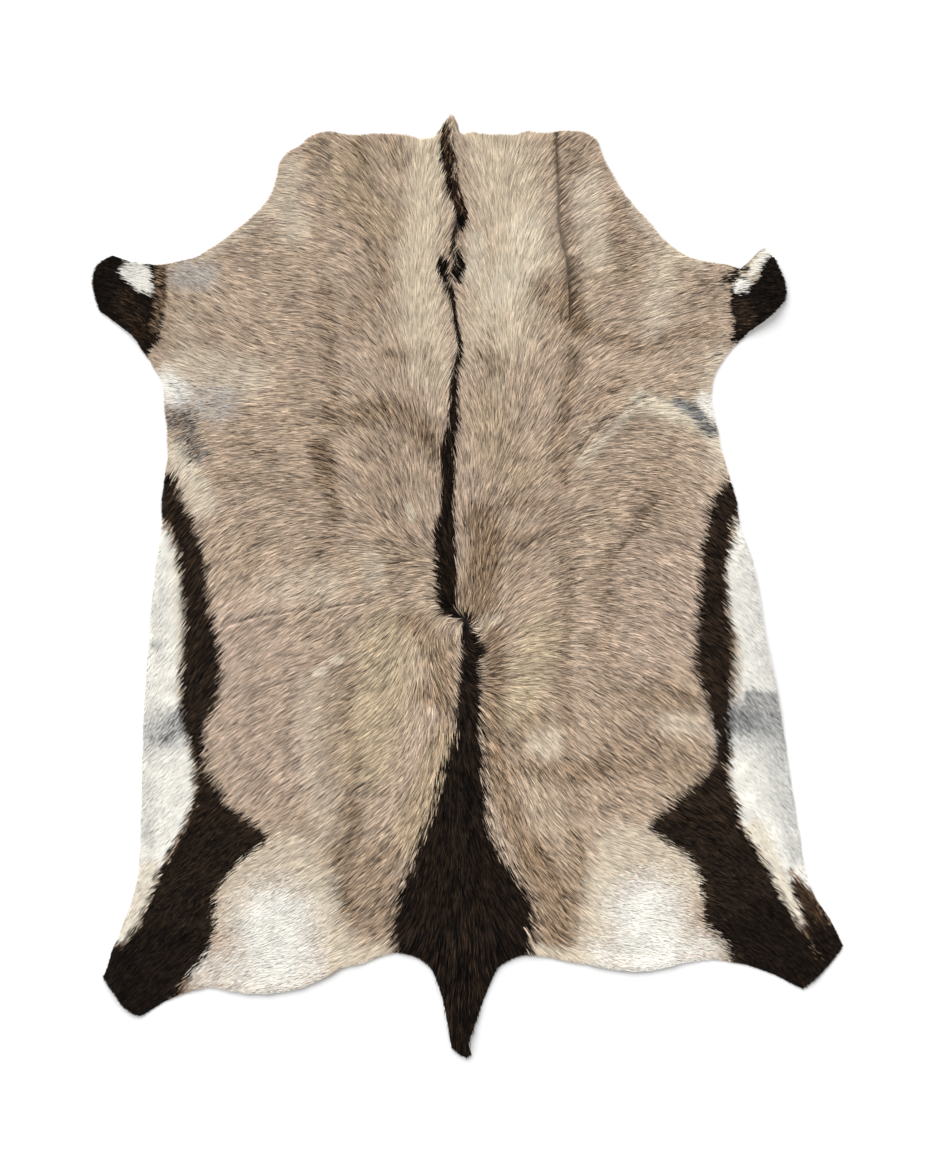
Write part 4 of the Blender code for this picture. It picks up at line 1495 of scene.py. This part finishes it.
@dataclass
class Coat:
    """The hair on the skin, grown in parts: six of the body, the crest and the tail."""

    skin: Skin
    finish: bpy.types.Material
    levels: tuple[float, float] = (-250, 300)
    crest_margin: float = 5
    tail_level: float = -640
    tail_half: float = 110
    short_ground: float = 0.55
    short_margin: float = 12
    short_calm: float = 0.45
    hock_level: float = -430
    longest: float = 1.15
    reach_step: float = 2.5
    shown: float = 0.72
    white_level: float = 1.12
    dark_contrast: float = 1.65
    own_most: float = 1.8
    own_least: float = 0.15
    root_shade: float = 0.85
    tip_light: float = 0.34
    tip_power: float = 0.7
    streak_width: float = 1.9
    streak_length: float = 20
    streak_shade: float = 1.05
    streak_seed: int = 31
    clump_width: float = 6
    clump_length: float = 40
    clump_shade: float = 0.2
    clump_seed: int = 32
    floor_gap: float = 0.0004
    parting_step: float = 8
    parting_reach: float = 45
    tree: HairTree = field(init=False)
    short: np.ndarray = field(init=False)

    def __post_init__(self) -> None:
        """Build the tree that all the parts share, and find where on the skin the hair is short."""
        self.tree = HairTree()
        self.short = self.shortness(self.skin.spots)

    def parts(self) -> dict[str, tuple[Hair, np.ndarray]]:
        """Name the parts of the coat, each with its kind of hair and the skin's faces that it grows on.

        Returns:
            The parts by name.
        """
        middle = self.skin.spots[self.skin.faces].mean(axis=1)
        right = from_spine(middle) > 0
        level = np.digitize(middle[:, 1], self.levels)
        made = {}
        for k, place in enumerate(("haunch", "barrel", "neck")):
            for side in Side:
                on_side = right if side is Side.RIGHT else ~right
                made[f"coat_{place}_{side.name.lower()}"] = (COAT_HAIR, (level == k) & on_side)
        crest = np.maximum(AREAS["crest"].depth(middle), AREAS["tuft"].depth(middle)) > -self.crest_margin
        made["crest"] = (CREST_HAIR, crest)
        tail = (middle[:, 1] < self.tail_level) & (np.abs(middle[:, 0]) < self.tail_half)
        made["tail_hair"] = (TAIL_HAIR, tail)
        return made

    def shortness(self, spots: np.ndarray) -> np.ndarray:
        """Tell where the hair is short: on the legs, the belly and the white haunches.

        Args:
            spots: the places.

        Returns:
            One for short hair and zero for long hair, for each place.
        """
        short = np.zeros(len(spots))
        for name, beyond in SHORT_AREAS.items():
            inside = np.clip((AREAS[name].depth(spots) + beyond) / self.short_margin, 0, 1)
            if name.endswith("band"):
                inside *= np.clip((self.hock_level - spots[:, 1]) / self.short_margin, 0, 1)
            short = np.maximum(short, inside)
        for patch in [*PATCHES, *BELLY_PATCHES]:
            if patch.tone in SHORT_TONES:
                inside = np.clip((patch.reach - patch.away(spots)) / self.short_margin, 0, 1)
                short = np.maximum(short, inside)
        return short

    def lengths(self, hair: Hair) -> np.ndarray:
        """Give the hair's length at each of the skin's points.

        Args:
            hair: the kind of hair.

        Returns:
            The lengths in millimetres.
        """
        skin = self.skin
        full = hair.length * (1 - (1 - self.short_ground) * self.short)
        way = skin.comb.directions(skin.spots)
        close = np.flatnonzero(skin.edge_gap < self.longest * hair.length)
        for step in np.arange(self.longest * hair.length, 0, -self.reach_step):
            ahead = skin.spots[close] + step * way[close]
            past = close[[skin.solid.height(x, y) is None for x, y in ahead]]
            full[past] = np.minimum(full[past], (step + hair.overhang) / self.longest)
        return full

    def ground(self, name: str, hair: Hair, chosen: np.ndarray) -> bpy.types.Object:
        """Make the surface that a part grows on.

        Args:
            name: the part's name.
            hair: its kind of hair.
            chosen: which of the skin's faces it takes.

        Returns:
            The surface, with the comb, reach and short attributes.
        """
        skin = self.skin
        used, places = np.unique(skin.faces[chosen], return_inverse=True)
        mesh = bpy.data.meshes.new(name + " ground")
        mesh.from_pydata(skin.top()[used].tolist(), [], places.reshape(-1, 3).tolist())
        way = skin.comb.directions(skin.spots[used])
        comb = mesh.attributes.new("comb", "FLOAT_VECTOR", "POINT")
        comb.data.foreach_set("vector", np.column_stack([way, np.zeros(len(way))]).ravel())
        for key, values in (("reach", self.lengths(hair) * MM), ("short", self.short)):
            mesh.attributes.new(key, "FLOAT", "POINT").data.foreach_set("value", values[used])
        return add_object(mesh.name, mesh)

    def build(self) -> list[bpy.types.Object]:
        """Grow and colour every part.

        Returns:
            The parts' objects.
        """
        made = []
        for number, (name, (hair, chosen)) in enumerate(self.parts().items()):
            blade = hair.lock.build()
            ground = self.ground(name, hair, chosen)
            mesh = self.tree.grow(ground, {
                "Lock": blade,
                "Density": float(hair.density),
                "Width": hair.width * MM,
                "Lift": math.radians(hair.lift),
                "Roll": math.radians(hair.roll),
                "Stray": math.radians(hair.stray),
                "Seed": hair.seed + 10 * number,
                "Finish": self.finish,
            })
            mesh.name = name
            self.dress(mesh, hair, number)
            for spare in (ground, blade):
                spare_mesh = spare.data
                bpy.data.objects.remove(spare)
                bpy.data.meshes.remove(spare_mesh)
            log.info("%s: %d locks", name, len(mesh.vertices) // len(hair.lock.shades()))
            made.append(add_object(name, mesh))
        return made

    def part(self, points: np.ndarray) -> None:
        """Shorten the locks that cross a parting, so that they end at it.

        Args:
            points: each lock's points from root to tip in metres, changed in place.
        """
        roots = points[:, 0, :2] / MM
        ways = points[:, -1, :2] / MM - roots
        for parting in PARTINGS:
            line = smooth_path(parting, self.parting_step)
            some = near(roots, line, self.parting_reach)
            x, y = roots[some].T
            way_x, way_y = ways[some].T
            share = np.ones(len(some))
            for (x0, y0), (x1, y1) in zip(line, line[1:]):
                turn = way_x * (y1 - y0) - way_y * (x1 - x0)
                turn = np.where(np.abs(turn) < TINY, TINY, turn)
                reached = ((x0 - x) * (y1 - y0) - (y0 - y) * (x1 - x0)) / turn
                place = ((x0 - x) * way_y - (y0 - y) * way_x) / turn
                crossed = (reached > 0) & (reached < share) & (place >= 0) & (place <= 1)
                share[crossed] = reached[crossed]
            base = points[some, :1]
            points[some] = base + (points[some] - base) * share[:, None, None]

    def dress(self, mesh: bpy.types.Mesh, hair: Hair, number: int) -> None:
        """Colour each lock from root to tip and keep it above the floor.

        Args:
            mesh: the locks.
            hair: their kind of hair.
            number: the part's number, which seeds its variation.
        """
        along = hair.lock.shades()
        points = np.empty(len(mesh.vertices) * 3, dtype=np.float32)
        mesh.vertices.foreach_get("co", points)
        points = points.reshape(-1, len(along), 3)
        self.part(points)
        points[:, :, 2] = np.maximum(points[:, :, 2], self.floor_gap)
        mesh.vertices.foreach_set("co", points.ravel())
        short = np.empty(len(mesh.vertices), dtype=np.float32)
        mesh.attributes["short"].data.foreach_get("value", short)
        short = short.reshape(-1, len(along))[:, 0]
        for attribute in ("comb", "reach", "short"):
            mesh.attributes.remove(mesh.attributes[attribute])
        roots = points[:, 0, :2] / MM
        tips = points[:, -1, :2] / MM
        source = np.random.default_rng(hair.seed + number)
        chance = source.random(len(roots))
        # A lock's root is hidden, so its colour is that of the place where its outer part shows
        tones = self.skin.markings.tones(roots + self.shown * (tips - roots), chance)
        # Dark and fawn hair shows more contrast between locks than white hair does
        depth = self.white_level - np.sqrt(tones.mean(axis=1))
        streaks = self.skin.comb.streaks
        own = hair.contrast * source.standard_normal(len(roots)).clip(-self.own_most, self.own_most)
        # The streaks and clumps are partly the hair's own colour and partly painted shade in the gaps
        # between locks and clumps
        own += self.streak_shade * streaks(roots, self.streak_width, self.streak_length, self.streak_seed)
        own += self.clump_shade * streaks(roots, self.clump_width, self.clump_length, self.clump_seed)
        own *= 1 - self.short_calm * short
        own = np.maximum(1 + self.dark_contrast * depth ** 2 * own, self.own_least)
        # The darker roots are partly the hair's own colour and partly painted shade under the locks that lie
        # over them
        root = 1 - self.root_shade * depth
        tip = 1 + self.tip_light * depth
        shade = root[:, None] + (tip - root)[:, None] * along[None, :] ** self.tip_power
        colours = tones[:, None, :] * (own[:, None] * shade)[:, :, None]
        paint(mesh, colours.reshape(-1, 3))


@dataclass(frozen=True)
class Studio:
    """A pale floor, soft light from all round and over the neck, and a camera that looks straight down."""

    floor_half: float = 6.0
    floor_drop: float = 0.0004
    lens: float = 85.0
    sensor: float = 36.0
    view_middle: Point = (-7.6, 20.0)
    view_height: float = 2189.0
    view_end: float = 50.0
    sky: float = 0.6
    lamp_strength: float = 3.15
    lamp_spread: float = 55.0
    lamp_tilt: float = 52.0
    lamp_turn: float = 22.0

    def build(self) -> None:
        """Build the floor, the lights and the camera."""
        self.lay_floor()
        self.light()
        self.set_camera()

    def lay_floor(self) -> None:
        """Lay the floor under the hide."""
        half = self.floor_half
        mesh = bpy.data.meshes.new("studio_floor")
        corners = [(-half, -half), (half, -half), (half, half), (-half, half)]
        mesh.from_pydata([(x, y, -self.floor_drop) for x, y in corners], [], [(0, 1, 2, 3)])
        mesh.materials.append(PaperFinish().build())
        add_object("studio_floor", mesh)

    def light(self) -> None:
        """Light the hide from all round, and more from over the neck."""
        world = bpy.data.worlds.new("studio")
        world.use_nodes = True
        sky = world.node_tree.nodes["Background"].inputs
        sky["Strength"].default_value = self.sky
        sky["Color"].default_value = (1, 1, 1, 1)
        bpy.context.scene.world = world
        lamp = bpy.data.lights.new("soft lamp", "SUN")
        lamp.energy = self.lamp_strength
        lamp.angle = math.radians(self.lamp_spread)
        holder = add_object("soft lamp", lamp)
        holder.rotation_euler = (-math.radians(self.lamp_tilt), 0, math.radians(self.lamp_turn))

    def set_camera(self) -> None:
        """Set the camera over the hide, at the distance that fits its lens to the view."""
        camera = bpy.data.cameras.new("camera")
        camera.lens = self.lens
        camera.sensor_fit = "VERTICAL"
        camera.sensor_height = self.sensor
        camera.clip_end = self.view_end
        holder = add_object("camera", camera)
        distance = self.view_height * self.lens / self.sensor
        holder.location = Vector((*self.view_middle, distance)) * MM
        bpy.context.scene.camera = holder
        bpy.context.scene.view_settings.view_transform = "Standard"


def main() -> None:
    """Build the hide and the studio."""
    logging.basicConfig(level=logging.INFO, format="%(name)s: %(message)s")
    Studio().build()
    skin = Skin(Solid(), Comb(), Markings())
    sheet = skin.build(SkinFinish().build(), FleshFinish().build())
    coat = Coat(skin, HairFinish().build()).build()
    for piece in (sheet, *coat):
        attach(piece, "root")
    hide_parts("hide")


if __name__ == "__main__":
    main()
